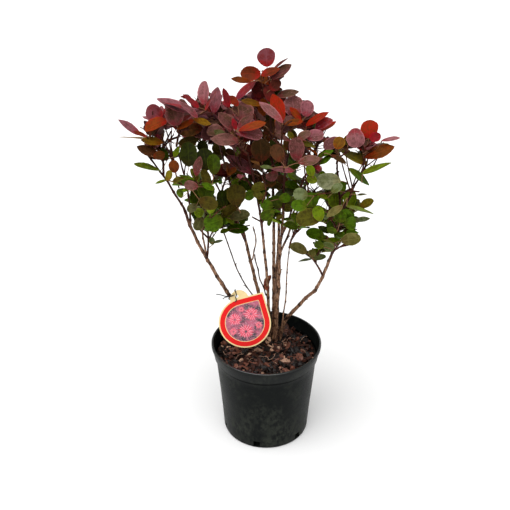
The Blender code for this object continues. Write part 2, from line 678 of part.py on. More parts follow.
def main():
    clear_scene()
    plant = new_collection("smoke bush")
    cutters = new_collection("cutters", rendered=False)
    make_pot(plant, cutters)
    make_soil(plant)
    limbs = make_limbs(plant)
    make_foliage(limbs, plant, cutters)
    make_label(plant)
    make_tie(limbs["stem_left"], plant)


main()
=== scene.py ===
# A young smoke bush in a black nursery pot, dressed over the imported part.
# Finer wood, leaves, bark chips, pot, label and wire stand in for the plain solids, in the same places.
import math
import random

import bpy
import numpy as np
from mathutils import Matrix, Vector
from mathutils.bvhtree import BVHTree


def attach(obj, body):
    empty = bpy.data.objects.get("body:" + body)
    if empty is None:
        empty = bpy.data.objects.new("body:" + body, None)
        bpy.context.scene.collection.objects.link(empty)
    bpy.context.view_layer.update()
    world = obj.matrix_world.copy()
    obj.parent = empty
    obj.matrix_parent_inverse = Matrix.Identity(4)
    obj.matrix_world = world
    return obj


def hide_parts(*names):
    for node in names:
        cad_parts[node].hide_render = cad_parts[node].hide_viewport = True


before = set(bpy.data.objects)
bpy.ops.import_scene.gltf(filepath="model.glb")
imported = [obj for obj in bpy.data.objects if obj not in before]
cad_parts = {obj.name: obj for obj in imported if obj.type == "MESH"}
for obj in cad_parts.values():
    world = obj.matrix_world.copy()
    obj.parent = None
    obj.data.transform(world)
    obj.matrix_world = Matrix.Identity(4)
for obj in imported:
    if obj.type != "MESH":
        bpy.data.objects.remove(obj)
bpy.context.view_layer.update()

up = Vector((0, 0, 1))
goldenTurn = math.radians(137.5)

# The photo's view: 510 pixels each way, from a little above the crown's middle
view = {
    "place": Vector((0, -1.45, 1.245)),
    "target": Vector((-0.0232, 0, 0.4129)),
    "lens": 61.1,
    "sensor": 36,
    "pixels": 510,
}


def viewAxes():
    ahead = (view["target"] - view["place"]).normalized()
    right = ahead.cross(up).normalized()
    return ahead, right, right.cross(ahead)


def focalPixels():
    return view["lens"] / view["sensor"] * view["pixels"]


def photoPoint(x, y, depth):
    # the point seen at a pixel, at a distance ahead of the camera
    ahead, right, top = viewAxes()
    middle = view["pixels"] / 2
    return view["place"] + (ahead + (right * (x - middle) - top * (y - middle)) / focalPixels()) * depth


# Small helpers for objects and finishes

def editAll():
    bpy.ops.object.mode_set(mode="EDIT")
    bpy.ops.mesh.select_all(action="SELECT")


def leaveEdit():
    bpy.ops.object.mode_set(mode="OBJECT")


def deselect():
    bpy.ops.object.select_all(action="DESELECT")


def pick(piece):
    deselect()
    piece.select_set(True)
    bpy.context.view_layer.objects.active = piece


class Pattern:
    # a value or colour that varies over a surface; sums with it are written as with plain numbers

    def __init__(self, finish, socket):
        self.finish = finish
        self.socket = socket

    def __add__(self, other):
        return self.finish.calc("ADD", self, other)

    def __sub__(self, other):
        return self.finish.calc("SUBTRACT", self, other)

    def __rsub__(self, other):
        return self.finish.calc("SUBTRACT", other, self)

    def __mul__(self, other):
        return self.finish.calc("MULTIPLY", self, other)

    def step(self, low, high):
        # 0 below low, 1 above high, and a smooth rise between them
        inputs = {"Value": self, "From Min": low, "From Max": high}
        return self.finish.node("MapRange", inputs, interpolation_type="SMOOTHSTEP")

    def between(self, low, high):
        return self.finish.node("MapRange", {"Value": self, "To Min": low, "To Max": high})


class Finish:
    # a material, and short ways to lay patterns over it

    def __init__(self, name, colour, roughness, gloss=0.2):
        self.material = bpy.data.materials.new(name)
        self.material.use_nodes = True
        self.tree = self.material.node_tree
        self.shader = self.tree.nodes["Principled BSDF"]
        self.coords = self.node("TexCoord", {}, "Object")
        self.give("Base Color", colour)
        self.give("Roughness", roughness)
        self.give("Specular IOR Level", gloss)

    def fill(self, socket, value):
        if isinstance(value, Pattern):
            self.tree.links.new(value.socket, socket)
        else:
            socket.default_value = (*value, 1) if socket.type == "RGBA" else value

    def give(self, name, value):
        self.fill(self.shader.inputs[name], value)

    def node(self, kind, inputs, output=0, **settings):
        node = self.tree.nodes.new("ShaderNode" + kind)
        for key, value in settings.items():
            setattr(node, key, value)
        for key, value in inputs.items():
            self.fill(node.inputs[key], value)
        return Pattern(self, node.outputs[output])

    def calc(self, operation, first, second=0.0):
        return self.node("Math", {0: first, 1: second}, operation=operation)

    def mark(self, name):
        return self.node("Attribute", {}, "Fac", attribute_name=name)

    def height(self):
        return self.node("SeparateXYZ", {0: self.coords}, 2)

    def noise(self, scale, detail=3.0, roughness=0.5, stretch=None):
        coords = self.node("Mapping", {"Vector": self.coords, "Scale": stretch}) if stretch else self.coords
        inputs = {"Vector": coords, "Scale": scale, "Detail": detail, "Roughness": roughness}
        return self.node("TexNoise", inputs, "Fac")

    def blend(self, share, first, second):
        return self.node("Mix", {0: share, 6: first, 7: second}, 2, data_type="RGBA")

    def bump(self, height, strength, distance):
        inputs = {"Height": height, "Strength": strength, "Distance": distance}
        self.give("Normal", self.node("Bump", inputs))


def shaded(colour, share):
    return tuple(c * share for c in colour)


def mottledFinish(name, look):
    # a finish that varies between two colours; its shine is (roughness, gloss)
    paint = Finish(name, look["low"], *look["shine"])
    grain = paint.noise(*look["grain"])
    share = grain.step(*look["patches"]) if "patches" in look else grain
    paint.give("Base Color", paint.blend(share, look["low"], look["high"]))
    if "relief" in look:
        paint.bump(grain, *look["relief"])
    return paint.material


# Meshes that are put together from arrays

class Heap:
    # corners and faces of many small forms, gathered for one piece

    def __init__(self):
        self.corners, self.faces, self.finishes, self.marks, self.tones = [], [], [], [], []

    def add(self, corners, faces, finish=0, marks=None, tone=0.5):
        # marks are (across, along, underside) for each corner, and the tone is the form's own shade,
        # or a list of one for each corner
        start = len(self.corners)
        self.corners.extend(tuple(corner) for corner in corners)
        self.faces.extend(tuple(start + i for i in face) for face in faces)
        self.finishes.extend([finish] * len(faces))
        self.marks.extend(marks if marks is not None else [(0.5, 0.5, 0)] * len(corners))
        self.tones.extend(tone if isinstance(tone, list) else [tone] * len(corners))

    def make(self, name, finishes, sharp=50):
        mesh = bpy.data.meshes.new(name)
        mesh.from_pydata(self.corners, [], self.faces)
        for finish in finishes:
            mesh.materials.append(finish)
        mesh.polygons.foreach_set("material_index", self.finishes)
        corner = np.empty(len(mesh.loops), int)
        mesh.loops.foreach_get("vertex_index", corner)
        marks = np.array(self.marks, float)
        mesh.uv_layers.new(name="leafMap").data.foreach_set("uv", marks[corner, :2].ravel())
        mesh.attributes.new("underside", "FLOAT", "POINT").data.foreach_set("value", marks[:, 2].copy())
        mesh.attributes.new("tone", "FLOAT", "POINT").data.foreach_set("value", self.tones)
        piece = bpy.data.objects.new(name, mesh)
        bpy.context.scene.collection.objects.link(piece)
        pick(piece)
        bpy.ops.object.shade_smooth_by_angle(angle=math.radians(sharp))
        return piece


def settle(piece, slot, *nodes):
    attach(piece, "root")
    if nodes:
        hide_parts(*nodes)


def eitherWay(rng, most):
    return rng.uniform(-most, most)


def anyTurn(rng):
    return rng.uniform(0, math.tau)


def acrossOf(direction, turn):
    upright = direction.xy.length < 0.3 * abs(direction.z)
    side = direction.cross(Vector((1, 0, 0)) if upright else up).normalized()
    other = direction.cross(side).normalized()
    return side * math.cos(turn) + other * math.sin(turn)


def bandFaces(first, sides):
    # faces between a ring of corners and the next one, from the first corner of the lower ring
    turns = [(k, (k + 1) % sides) for k in range(sides)]
    return [(first + k, first + j, first + sides + j, first + sides + k) for k, j in turns]


def tubeForm(points, radii, sides, radiusAt=None):
    # a closed tube without twist; radiusAt(ring, turn) may add relief
    corners, faces = [], []
    facing = acrossOf(points[1] - points[0], 0)
    for i, point in enumerate(points):
        along = (points[min(i + 1, len(points) - 1)] - points[max(i - 1, 0)]).normalized()
        facing = (facing - along * facing.dot(along)).normalized()
        second = along.cross(facing)
        for k in range(sides):
            turn = k * math.tau / sides
            radius = radii[i] + (radiusAt(i, turn) if radiusAt else 0)
            corners.append(point + (facing * math.cos(turn) + second * math.sin(turn)) * radius)
    for i in range(0, len(corners) - sides, sides):
        faces += bandFaces(i, sides)
    faces.append(tuple(reversed(range(sides))))
    faces.append(tuple(range(len(corners) - sides, len(corners))))
    return corners, faces


def smoothLine(points, steps):
    # points on a smooth curve through the given ones
    line = []
    ends = [points[0] * 2 - points[1]] + list(points) + [points[-1] * 2 - points[-2]]
    for a, b, c, d in zip(ends, ends[1:], ends[2:], ends[3:]):
        for i in range(steps):
            t = i / steps
            line.append((b * 2 + (c - a) * t + (a * 2 - b * 5 + c * 4 - d) * t ** 2
                         + (b * 3 - a - c * 3 + d) * t ** 3) / 2)
    return line + [points[-1]]


# Camera, light and floor

studio = {
    "floorColour": (0.93, 0.93, 0.93),
    "floorSize": 400,
    "sight": 1000,
    "skyStrength": 0.50,
    "sunWay": (0.25, 0.50, -1.40),
    "sunStrength": 3.0,
    "sunSpread": 75,
}


def setStudio():
    scene = bpy.context.scene
    scene.view_settings.view_transform = "Standard"
    bpy.ops.object.camera_add(location=view["place"])
    camera = bpy.context.object
    camera.rotation_euler = (view["target"] - view["place"]).to_track_quat("-Z", "Y").to_euler()
    camera.data.lens = view["lens"]
    camera.data.sensor_width = view["sensor"]
    camera.data.clip_end = studio["sight"]
    scene.camera = camera
    world = bpy.data.worlds.new("pale room")
    scene.world = world
    world.use_nodes = True
    sky = world.node_tree.nodes["Background"]
    sky.inputs["Color"].default_value = (1, 1, 1, 1)
    sky.inputs["Strength"].default_value = studio["skyStrength"]
    bpy.ops.object.light_add(type="SUN", location=(-1, -2, 3))
    sun = bpy.context.object
    sun.data.energy = studio["sunStrength"]
    sun.data.angle = math.radians(studio["sunSpread"])
    sun.rotation_euler = Vector(studio["sunWay"]).to_track_quat("-Z", "Y").to_euler()
    deselect()
    bpy.ops.mesh.primitive_plane_add(size=studio["floorSize"], location=(0, 0, 0))
    floor = bpy.context.object
    floor.name = "floor"
    floor.data.materials.append(Finish("paleFloor", studio["floorColour"], 0.85, 0.0).material)
    print("studio set")


# Pot: a thin moulded wall with a lip, a band and slots round its foot

pot = {
    "height": 0.210,
    "rimRadius": 0.1125,
    "rimRound": 0.0010,
    "lipHeight": 0.0055,
    "lipOverhang": 0.0020,
    "lipStep": 0.0008,
    "neckHeight": 0.006,
    "neckTaper": 0.0004,
    "bandHeight": 0.0285,
    "bandBottomRadius": 0.1072,
    "bandStep": 0.0012,
    "bandFoot": 0.003,
    "bodyTopRadius": 0.1038,
    "bodyBottomRadius": 0.0890,
    "footRound": (0.0015, 0.0012),
    "footCorner": 0.0045,
    "floorRadius": 0.03,
    "wall": 0.0018,
    "innerStep": 0.004,
    "innerFoot": 0.006,
    "sides": 128,
    "bodyRows": 14,
    "dent": 0.0011,
    "dentWaves": ((2, 0.4, 9.0), (3, 1.9, 31.0), (5, 4.0, 55.0)),
    "dentFade": 0.05,
    "slots": 6,
    "slotSize": (0.014, 0.024, 0.015),
    "slotSill": 0.0030,
    "firstSlot": math.radians(-12),
    "colour": (0.0050, 0.0062, 0.0060),
    "dust": (0.043, 0.048, 0.037),
    "dustyFoot": 0.13,
    "dustShares": {"film": 0.34, "foot": 0.26, "scuffs": 0.30, "most": 0.9},
    # heights around the band's foot of the painted shadow under the band's ledge
    "shadeUnderBand": (-0.0065, -0.0030, -0.0006, 0.0008),
    "plastic": {"gloss": 0.045, "bandGloss": 0.10, "roughness": 0.36},
    "rim": {"gloss": 0.60, "bandGloss": 0.60, "roughness": 0.22},
    "rimDepth": 0.0006,
    "dustRoughness": 0.72,
    "patterns": {
        "cloud": (17, 4, 0.6),
        "grime": (105, 6, 0.68, (1, 1, 0.7)),
        "scuffs": (36, 5, 0.7, (1, 1, 5)),
        "grain": (900, 2),
    },
    "filmSteps": ((0.40, 0.62), (0.38, 0.60)),
    "footStep": (0.40, 0.62),
    "scuffStep": (0.62, 0.72),
    # share and darkness of that painted shadow
    "shadeUnderBandShare": 0.92,
    "shadeUnderBandDarkness": 0.2,
    "glossStep": 0.004,
    "cloudRelief": 4.0,
    "relief": (0.25, 0.0009),
}


def potFinish(name, gloss, bandGloss, roughness):
    paint = Finish(name, pot["colour"], roughness, gloss)
    shares = pot["dustShares"]
    height = paint.height()
    cloud, grime, scuffs, grain = (paint.noise(*pattern) for pattern in pot["patterns"].values())
    clouded, grimed = pot["filmSteps"]
    film = cloud.step(*clouded) * grime.step(*grimed)
    foot = (1.0 - height.step(0.0, pot["dustyFoot"])) * grime.step(*pot["footStep"])
    rubbed = scuffs.step(*pot["scuffStep"]) * shares["scuffs"]
    dust = film * shares["film"] + foot * shares["foot"] + rubbed
    dust = paint.calc("MINIMUM", dust, shares["most"])
    # painted shadow: the step under the band is darkened and made less glossy, for the shadow the band's
    # ledge casts on it
    step = pot["height"] - pot["bandHeight"]
    low, full, fading, clear = (step + way for way in pot["shadeUnderBand"])
    unshaded = 1.0 - height.step(low, full) * (1.0 - height.step(fading, clear)) * pot["shadeUnderBandShare"]
    dusty = paint.blend(dust, pot["colour"], pot["dust"])
    paint.give("Base Color", paint.blend(unshaded, shaded(pot["colour"], pot["shadeUnderBandDarkness"]), dusty))
    onBand = height.step(step, step + pot["glossStep"])
    paint.give("Specular IOR Level", onBand.between(gloss, bandGloss) * unshaded)
    paint.give("Roughness", dust.between(roughness, pot["dustRoughness"]))
    paint.bump(grain + cloud * pot["cloudRelief"], *pot["relief"])
    return paint.material


def drawWall(radius, height, rings):
    # the open edge is drawn on through the rings of the profile, as by hand, and closed at the last
    for ringRadius, ringHeight in rings:
        bpy.ops.mesh.extrude_region_move(TRANSFORM_OT_translate={"value": (0, 0, ringHeight - height)})
        share = ringRadius / radius
        bpy.ops.transform.resize(value=(share, share, 1), center_override=(0, 0, ringHeight))
        radius, height = ringRadius, ringHeight
    bpy.ops.mesh.edge_face_add()


def outerRings():
    top, outer, body = pot["height"], pot["rimRadius"], pot["bodyTopRadius"]
    lip, neck = top - pot["lipHeight"], outer - pot["lipOverhang"]
    band, foot, edge = top - pot["bandHeight"], pot["bodyBottomRadius"], pot["rimRound"]
    rings = [(outer - edge, top), (outer, top - edge), (outer, lip), (neck, lip - pot["lipStep"])]
    rings += [(neck - pot["neckTaper"], lip - pot["neckHeight"]), (pot["bandBottomRadius"], band)]
    rings += [(body + pot["bandStep"], band - pot["bandStep"]), (body, band - pot["bandFoot"])]
    for i in range(1, pot["bodyRows"] + 1):
        share = i / pot["bodyRows"]
        height = (band - pot["bandFoot"]) * (1 - share) + pot["footCorner"] * share
        rings.append((body + (foot - body) * share, height))
    inward, upward = pot["footRound"]
    return rings + [(foot - inward, upward), (foot - pot["footCorner"], 0), (pot["floorRadius"], 0)]


def innerRings(radius):
    top, wall = pot["height"], pot["wall"]
    band, foot = top - pot["bandHeight"], pot["bodyBottomRadius"]
    rings = [(radius - pot["neckTaper"], top - pot["innerStep"]), (pot["bandBottomRadius"] - wall, band)]
    rings += [(pot["bodyTopRadius"] - wall, band - pot["innerStep"]), (foot - wall, pot["innerFoot"])]
    return rings + [(pot["floorRadius"], wall)]


def makePot():
    top = pot["height"]
    radius = pot["rimRadius"] - pot["lipOverhang"] - pot["wall"]
    deselect()
    bpy.ops.mesh.primitive_circle_add(vertices=pot["sides"], radius=radius, location=(0, 0, top))
    shell = bpy.context.object
    shell.name = "potShell"
    bpy.ops.object.transform_apply(location=True)
    editAll()
    drawWall(radius, top, outerRings())
    # the inner wall goes down from the same top edge
    bpy.ops.mesh.select_all(action="DESELECT")
    leaveEdit()
    corners = shell.data.vertices
    for corner in corners:
        corner.select = abs(corner.co.z - top) < 1e-5 and abs(corner.co.xy.length - radius) < 1e-5
    for edge in shell.data.edges:
        edge.select = all(corners[i].select for i in edge.vertices)
    bpy.ops.object.mode_set(mode="EDIT")
    bpy.ops.mesh.select_mode(type="EDGE")
    drawWall(radius, top, innerRings(radius))
    bpy.ops.mesh.select_all(action="SELECT")
    bpy.ops.mesh.normals_make_consistent(inside=False)
    leaveEdit()
    dentPot(shell)
    cutSlots(shell)
    shell.data.materials.append(potFinish("blackPlastic", **pot["plastic"]))
    shell.data.materials.append(potFinish("rubbedRim", **pot["rim"]))
    for face in shell.data.polygons:
        face.material_index = int(face.center.z > top - pot["rimDepth"])
    pick(shell)
    bpy.ops.object.shade_smooth_by_angle(angle=math.radians(35))
    settle(shell, "pot_plastic", "pot")
    print("pot made")


def dentPot(shell):
    # a used pot is a little out of round, least at its foot and rim
    for corner in shell.data.vertices:
        turn = math.atan2(corner.co.y, corner.co.x)
        waves = (math.sin(n * turn + start + corner.co.z * rise) / n for n, start, rise in pot["dentWaves"])
        below, above = corner.co.z / pot["dentFade"], (pot["height"] - corner.co.z) / pot["dentFade"]
        free = min(1, below) * min(1, above + 0.25)
        radius = corner.co.xy.length
        if radius > pot["floorRadius"] * 2:
            share = 1 - pot["dent"] * (1 + sum(waves)) * 0.5 * free / radius
            corner.co.x *= share
            corner.co.y *= share


def cutSlots(shell):
    for index in range(pot["slots"]):
        turn = pot["firstSlot"] + index * math.tau / pot["slots"]
        middle = (math.sin(turn) * pot["bodyBottomRadius"], -math.cos(turn) * pot["bodyBottomRadius"])
        deselect()
        height = pot["slotSill"] + pot["slotSize"][2] / 2
        bpy.ops.mesh.primitive_cube_add(size=1, location=(*middle, height))
        cutter = bpy.context.object
        cutter.scale = pot["slotSize"]
        cutter.rotation_euler = (0, 0, turn)
        pick(shell)
        cut = shell.modifiers.new("slot", "BOOLEAN")
        cut.operation = "DIFFERENCE"
        cut.object = cutter
        bpy.ops.object.modifier_apply(modifier=cut.name)
        bpy.data.objects.remove(cutter)


# Potting bark: a dark bed, chips of many sizes and a few fibres

bark = {
    "ground": 0.188,
    "edge": 0.1835,
    "flatRadius": 0.078,
    "radius": 0.1020,
    "reach": 0.1036,
    "bedDrop": 0.0032,
    "bedRings": 12,
    "bedSides": 48,
    "bedRough": 0.0012,
    "hem": (0.97, 0.02),
    "chips": 820,
    "length": (0.033, 0.0085),
    "lengthFall": 0.6,
    "lengthSpread": (0.8, 1.15),
    "width": (0.38, 0.80),
    "thickness": (0.12, 0.28),
    "lift": (-0.0016, 0.0046),
    "smallLift": 0.0024,
    "tilt": 30,
    "roll": 24,
    "fibres": 90,
    "fibreEdge": 0.015,
    "fibreLift": 0.0045,
    "fibreLength": (0.008, 0.022),
    "fibreRadius": 0.00035,
    "fibreSag": 0.2,
    "colours": {
        "barkDark": (0.0065, 0.0028, 0.0020),
        "barkBrown": (0.042, 0.0140, 0.0088),
        "barkRed": (0.135, 0.0480, 0.0300),
        "barkPale": (0.480, 0.2700, 0.1850),
    },
    "shares": (0.53, 0.26, 0.15, 0.06),
    "paler": (2.3, 0.008),
    "darker": 0.35,
    "shine": (0.30, 0.22),
    "streaks": (420, 4, 0.7, (1, 0.3, 1)),
    "streakStep": (0.35, 0.7),
    "palest": 0.25,
    "patches": 130,
    "patchStart": 0.75,
    "relief": (0.6, 0.0012),
    "chipTurn": 0.3,
    "chipReach": (0.75, 1.1),
    "chipRough": 0.1,
}


def barkFinish(name, colour):
    paint = Finish(name, colour, *bark["shine"])
    streaks = paint.noise(*bark["streaks"])
    patches = paint.noise(bark["patches"])
    share, haze = bark["paler"]
    pale = tuple(min(1, c * share + haze) for c in colour)
    streaked = streaks.step(*bark["streakStep"]) * (paint.mark("tone") + bark["palest"])
    mixed = paint.blend(streaked, colour, pale)
    dark = shaded(colour, bark["darker"])
    paint.give("Base Color", paint.blend(bark["patchStart"] - patches, mixed, dark))
    paint.bump(streaks, *bark["relief"])
    return paint.material


def bedHeight(radius):
    slope = max(0, radius - bark["flatRadius"]) / (bark["reach"] - bark["flatRadius"])
    return bark["ground"] - bark["bedDrop"] - (bark["ground"] - bark["edge"]) * slope


def bedPlace(radius, turn, lift):
    return Vector((radius * math.cos(turn), radius * math.sin(turn), bedHeight(radius) + lift))


def bedForm(rng):
    # the uneven bed under the chips, closed below by a hem
    rings, sides = bark["bedRings"], bark["bedSides"]
    corners = [Vector((0, 0, bedHeight(0)))]
    for i in range(1, rings + 1):
        for k in range(sides):
            rough = eitherWay(rng, bark["bedRough"])
            corners.append(bedPlace(bark["radius"] * i / rings, k * math.tau / sides, rough))
    faces = [(0, 1 + k, 1 + (k + 1) % sides) for k in range(sides)]
    for i in range(rings):
        for k in range(sides):
            a = 1 + i * sides + k
            b = 1 + i * sides + (k + 1) % sides
            faces.append((a, a + sides, b + sides, b))
    last = len(corners)
    inward, drop = bark["hem"]
    corners += [Vector((c.x * inward, c.y * inward, c.z - drop)) for c in corners[-sides:]]
    faces.append(tuple(reversed(range(last, last + sides))))
    return corners, faces


def chipForm(rng, place, length, wide, thick, matrix):
    # an irregular flat shard: three stacked rings of five to seven corners
    count = rng.choice((5, 6, 7))
    swing, rough = bark["chipTurn"], bark["chipRough"]
    turns = [(k + eitherWay(rng, swing)) * math.tau / count for k in range(count)]
    reach = [rng.uniform(*bark["chipReach"]) for _ in turns]
    corners = []
    for level, size in ((-0.5, 0.78), (rng.uniform(-0.2, 0.25), 1.0), (0.5, rng.uniform(0.62, 0.85))):
        for turn, far in zip(turns, reach):
            x = math.cos(turn) * far * size * length / 2
            y = math.sin(turn) * far * size * wide / 2
            z = level * thick + eitherWay(rng, rough) * thick
            corners.append(place + matrix @ Vector((x, y, z)))
    faces = [tuple(reversed(range(count))), tuple(range(2 * count, 3 * count))]
    return corners, faces + bandFaces(0, count) + bandFaces(count, count)


def layChip(heap, size, rng):
    # size runs from 0 for the longest chips, laid first, to 1 for the shortest on top of them
    longest, shortest = bark["length"]
    length = longest + (shortest - longest) * size ** bark["lengthFall"]
    length *= rng.uniform(*bark["lengthSpread"])
    wide = length * rng.uniform(*bark["width"])
    thick = length * rng.uniform(*bark["thickness"])
    radius = (bark["reach"] - length * 0.5) * math.sqrt(rng.random())
    turn = anyTurn(rng)
    place = bedPlace(radius, turn, rng.uniform(*bark["lift"]) + bark["smallLift"] * size)
    tilt = math.radians(rng.gauss(0, bark["tilt"]))
    matrix = Matrix.Rotation(anyTurn(rng), 3, "Z") @ Matrix.Rotation(tilt, 3, "Y")
    matrix = matrix @ Matrix.Rotation(math.radians(rng.gauss(0, bark["roll"])), 3, "X")
    tint = rng.choices(range(4), bark["shares"])[0]
    heap.add(*chipForm(rng, place, length, wide, thick, matrix), tint, tone=rng.random())


def layFibre(heap, rng):
    radius = (bark["radius"] - bark["fibreEdge"]) * math.sqrt(rng.random())
    place = bedPlace(radius, anyTurn(rng), bark["fibreLift"])
    way = Vector((eitherWay(rng, 1), eitherWay(rng, 1), rng.uniform(-0.1, 0.25))).normalized()
    length = rng.uniform(*bark["fibreLength"])
    sag = acrossOf(way, anyTurn(rng)) * length * bark["fibreSag"]
    points = [place + way * length * t + sag * math.sin(t * math.pi) for t in (0, 0.25, 0.5, 0.75, 1)]
    radii = [bark["fibreRadius"]] * len(points)
    heap.add(*tubeForm(points, radii, 4), rng.choice((2, 3, 3)), tone=rng.random())


def makeBark():
    rng = random.Random(31)
    heap = Heap()
    heap.add(*bedForm(rng), tone=0.1)
    for index in range(bark["chips"]):
        layChip(heap, index / bark["chips"], rng)
    for _ in range(bark["fibres"]):
        layFibre(heap, rng)
    finishes = [barkFinish(name, colour) for name, colour in bark["colours"].items()]
    settle(heap.make("barkChips", finishes, 32), "potting_bark", "potting_bark")
    print("bark laid")


# Wood: stems, boughs and bare twigs, on the same lines as the solids

wood = {
    "ground": 0.188,
    "gap": 0.0003,
    "flare": 1.35,
    "footRise": 0.005,
    "stemSteps": 6,
    "boughSteps": 4,
    "crook": 0.0016,
    "sides": 14,
    "ringSpacing": 0.0032,
    "firstNode": 0.012,
    "nodeSpacing": (0.019, 0.031),
    "nodeSwelling": 0.15,
    "nodeLength": 0.0026,
    "budHeight": 0.0011,
    "scarLength": 0.0020,
    "scarTone": 0.65,
    "roughness": 0.075,
    "ridges": ((1.0, 3, 90), (0.6, 5, -260), (0.5, 0, 700)),
    "zigzag": 0.0009,
    "deadZigzag": 0.0016,
    "girth": 0.92,
    "deadGirth": 1.25,
    "buriedGirth": 1.2,
    "spurShare": 0.4,
    "spurLength": (0.0015, 0.0045),
    "spurRadius": 0.0009,
    "spurLean": (0.3, 1.0),
    "spurTaper": (1.3, 1, 0.55),
    "spurTone": 0.55,
    "budWidth": 0.25,
}

# Foot on the bark, tip, bow of the line, and radii at the foot and the tip
stems = {
    "stem_left": ((-0.004, 0.032), (-0.155, -0.015, 0.520), (-0.0155, -0.004, 0), (0.0046, 0.0028)),
    "stem_left_back": ((0.003, 0.053), (-0.088, 0.090, 0.585), (0.004, 0, 0), (0.0040, 0.0020)),
    "stem_centre_left": ((0.006, 0.037), (-0.035, -0.040, 0.640), (0.009, 0.014, 0), (0.0034, 0.0018)),
    "stem_centre": ((0.014, 0.048), (0.003, 0.022, 0.700), (0.005, 0.002, 0), (0.0040, 0.0018)),
    "stem_front": ((0.018, 0.034), (0.032, -0.045, 0.640), (0.001, 0.010, 0), (0.0042, 0.0018)),
    "stem_back": ((0.014, 0.064), (0.030, 0.150, 0.560), (0, -0.014, 0), (0.0040, 0.0019)),
    "stem_thin": ((0.029, 0.029), (0.043, 0.000, 0.430), (0.001, 0, 0), (0.0016, 0.0011)),
    "stem_right_foot": ((0.028, 0.050), (0.096, 0, 0.334), (-0.009, 0.004, 0), (0.0044, 0.0036)),
}

# Limb it grows on, place along that limb, tip, bow and radii; the right stem turns up from its foot
boughs = {
    "stem_right": ("stem_right_foot", 1.0, (0.124, -0.020, 0.615), (0.022, 0, 0), (0.0036, 0.0018)),
    "bough_left_outer": ("stem_left", 1.0, (-0.216, -0.020, 0.630), (0.002, 0, 0), (0.0024, 0.0016)),
    "bough_left_inner": ("stem_left", 0.90, (-0.164, -0.004, 0.640), (0.005, 0, 0), (0.0021, 0.0014)),
    "bough_left_front": ("stem_left", 0.70, (-0.118, -0.058, 0.560), (-0.003, 0, 0), (0.0020, 0.0014)),
    "bough_top_right": ("stem_centre", 0.62, (0.040, 0.022, 0.650), (0.005, 0.003, 0), (0.0022, 0.0015)),
    "bough_centre_right": ("stem_front", 0.66, (0.064, -0.050, 0.600), (0.002, 0, 0), (0.0020, 0.0014)),
    "bough_right_shoulder": ("stem_front", 0.56, (0.088, 0.050, 0.600), (0.003, 0, 0), (0.0024, 0.0015)),
    "bough_right_far": ("stem_right", 0.62, (0.174, -0.012, 0.618), (0.004, 0, 0), (0.0022, 0.0015)),
    "bough_back_left": ("stem_left_back", 0.62, (-0.122, 0.132, 0.560), (-0.004, 0, 0), (0.0022, 0.0015)),
    "bough_back_right": ("stem_back", 0.60, (0.092, 0.140, 0.552), (0.004, 0, 0), (0.0022, 0.0015)),
}
deadRadii = (0.001, 0.001)
bareTwigs = {
    "dead_twig_left": ("stem_left_back", 0.28, (-0.086, 0.046, 0.44), (-0.006, -0.004, -0.008), deadRadii),
    "dead_twig_middle": ("stem_centre_left", 0.34, (-0.024, 0.016, 0.405), (-0.003, -0.002, 0), deadRadii),
    "cut_spur": ("stem_left_back", 0.50, (-0.028, 0.062, 0.442), (0.005, -0.002, 0), (0.0015, 0.0013)),
}


class Limb:
    # the centreline of a stem, bough or twig, with its radius at each point

    def __init__(self, name, points, radii, parentPoint=None):
        self.name = name
        self.points = points
        self.radii = radii
        self.parentPoint = parentPoint
        self.bearing = False

    def at(self, place):
        reach = place * (len(self.points) - 1)
        i = min(int(reach), len(self.points) - 2)
        a, b = self.points[i], self.points[i + 1]
        radius = self.radii[i] + (self.radii[i + 1] - self.radii[i]) * (reach - i)
        return a.lerp(b, reach - i), (b - a).normalized(), radius


def curvedLine(start, end, bow, steps, rng, crook):
    middle = (start + end) / 2 + 2 * Vector(bow)
    points = []
    for i in range(steps + 1):
        t = i / steps
        point = start * (1 - t) ** 2 + middle * 2 * t * (1 - t) + end * t ** 2
        if 1 < i < steps:
            point += Vector((eitherWay(rng, crook), eitherWay(rng, crook), 0))
        points.append(point)
    return points


def tapered(radii, count):
    return [radii[0] + (radii[1] - radii[0]) * i / (count - 1) for i in range(count)]


def branchStart(parent, place, end, bow, radius):
    point, along, thick = parent.at(place)
    way = (end + 4 * Vector(bow) - point).normalized()
    turn = way.angle(along)
    if place >= 1:
        return point + along * (wood["gap"] + radius * math.sin(turn))
    return point + way * (thick + wood["gap"] + radius * math.cos(turn)) / max(0.3, math.sin(turn))


def growLimbs():
    limbs = {}
    rng = random.Random(7)
    for name, (foot, tip, bow, radii) in stems.items():
        ground = Vector((*foot, wood["ground"] + wood["gap"]))
        rise = ground + up * wood["footRise"]
        points = [ground] + curvedLine(rise, Vector(tip), bow, wood["stemSteps"], rng, wood["crook"])
        limbs[name] = Limb(name, points, [radii[0] * wood["flare"]] * 2 + tapered(radii, wood["stemSteps"]))
    for name, (parent, place, tip, bow, radii) in {**boughs, **bareTwigs}.items():
        steps = wood["stemSteps" if name.startswith("stem") else "boughSteps"]
        start = branchStart(limbs[parent], place, Vector(tip), bow, radii[0])
        points = curvedLine(start, Vector(tip), bow, steps, rng, wood["crook"])
        limbs[name] = Limb(name, points, tapered(radii, steps + 1), limbs[parent].at(place)[0])
    return limbs


barkLook = {
    "old": (0.138, 0.064, 0.037),
    "pale": (0.430, 0.250, 0.150),
    "dark": (0.020, 0.008, 0.005),
    "young": (0.042, 0.010, 0.006),
    "youngStart": 0.40,
    "youngFull": 0.56,
    "drift": 0.12,
    "shine": (0.62, 0.10),
    "streaks": (520, 4, 0.65, (1, 1, 0.16)),
    "streakStep": (0.45, 0.62),
    "patches": (75, 4, 0.6),
    "patchStep": (0.50, 0.62),
    "specks": (900, 2),
    "speckStep": (0.60, 0.68),
    "speckShare": 0.55,
    "relief": (0.45, 0.0008),
}
deadLook = {
    "low": (0.030, 0.022, 0.020),
    "high": (0.16, 0.085, 0.055),
    "shine": (0.6, 0.12),
    "grain": (220, 4, 0.6),
    "patches": (0.42, 0.7),
    "relief": (0.4, 0.0005),
}


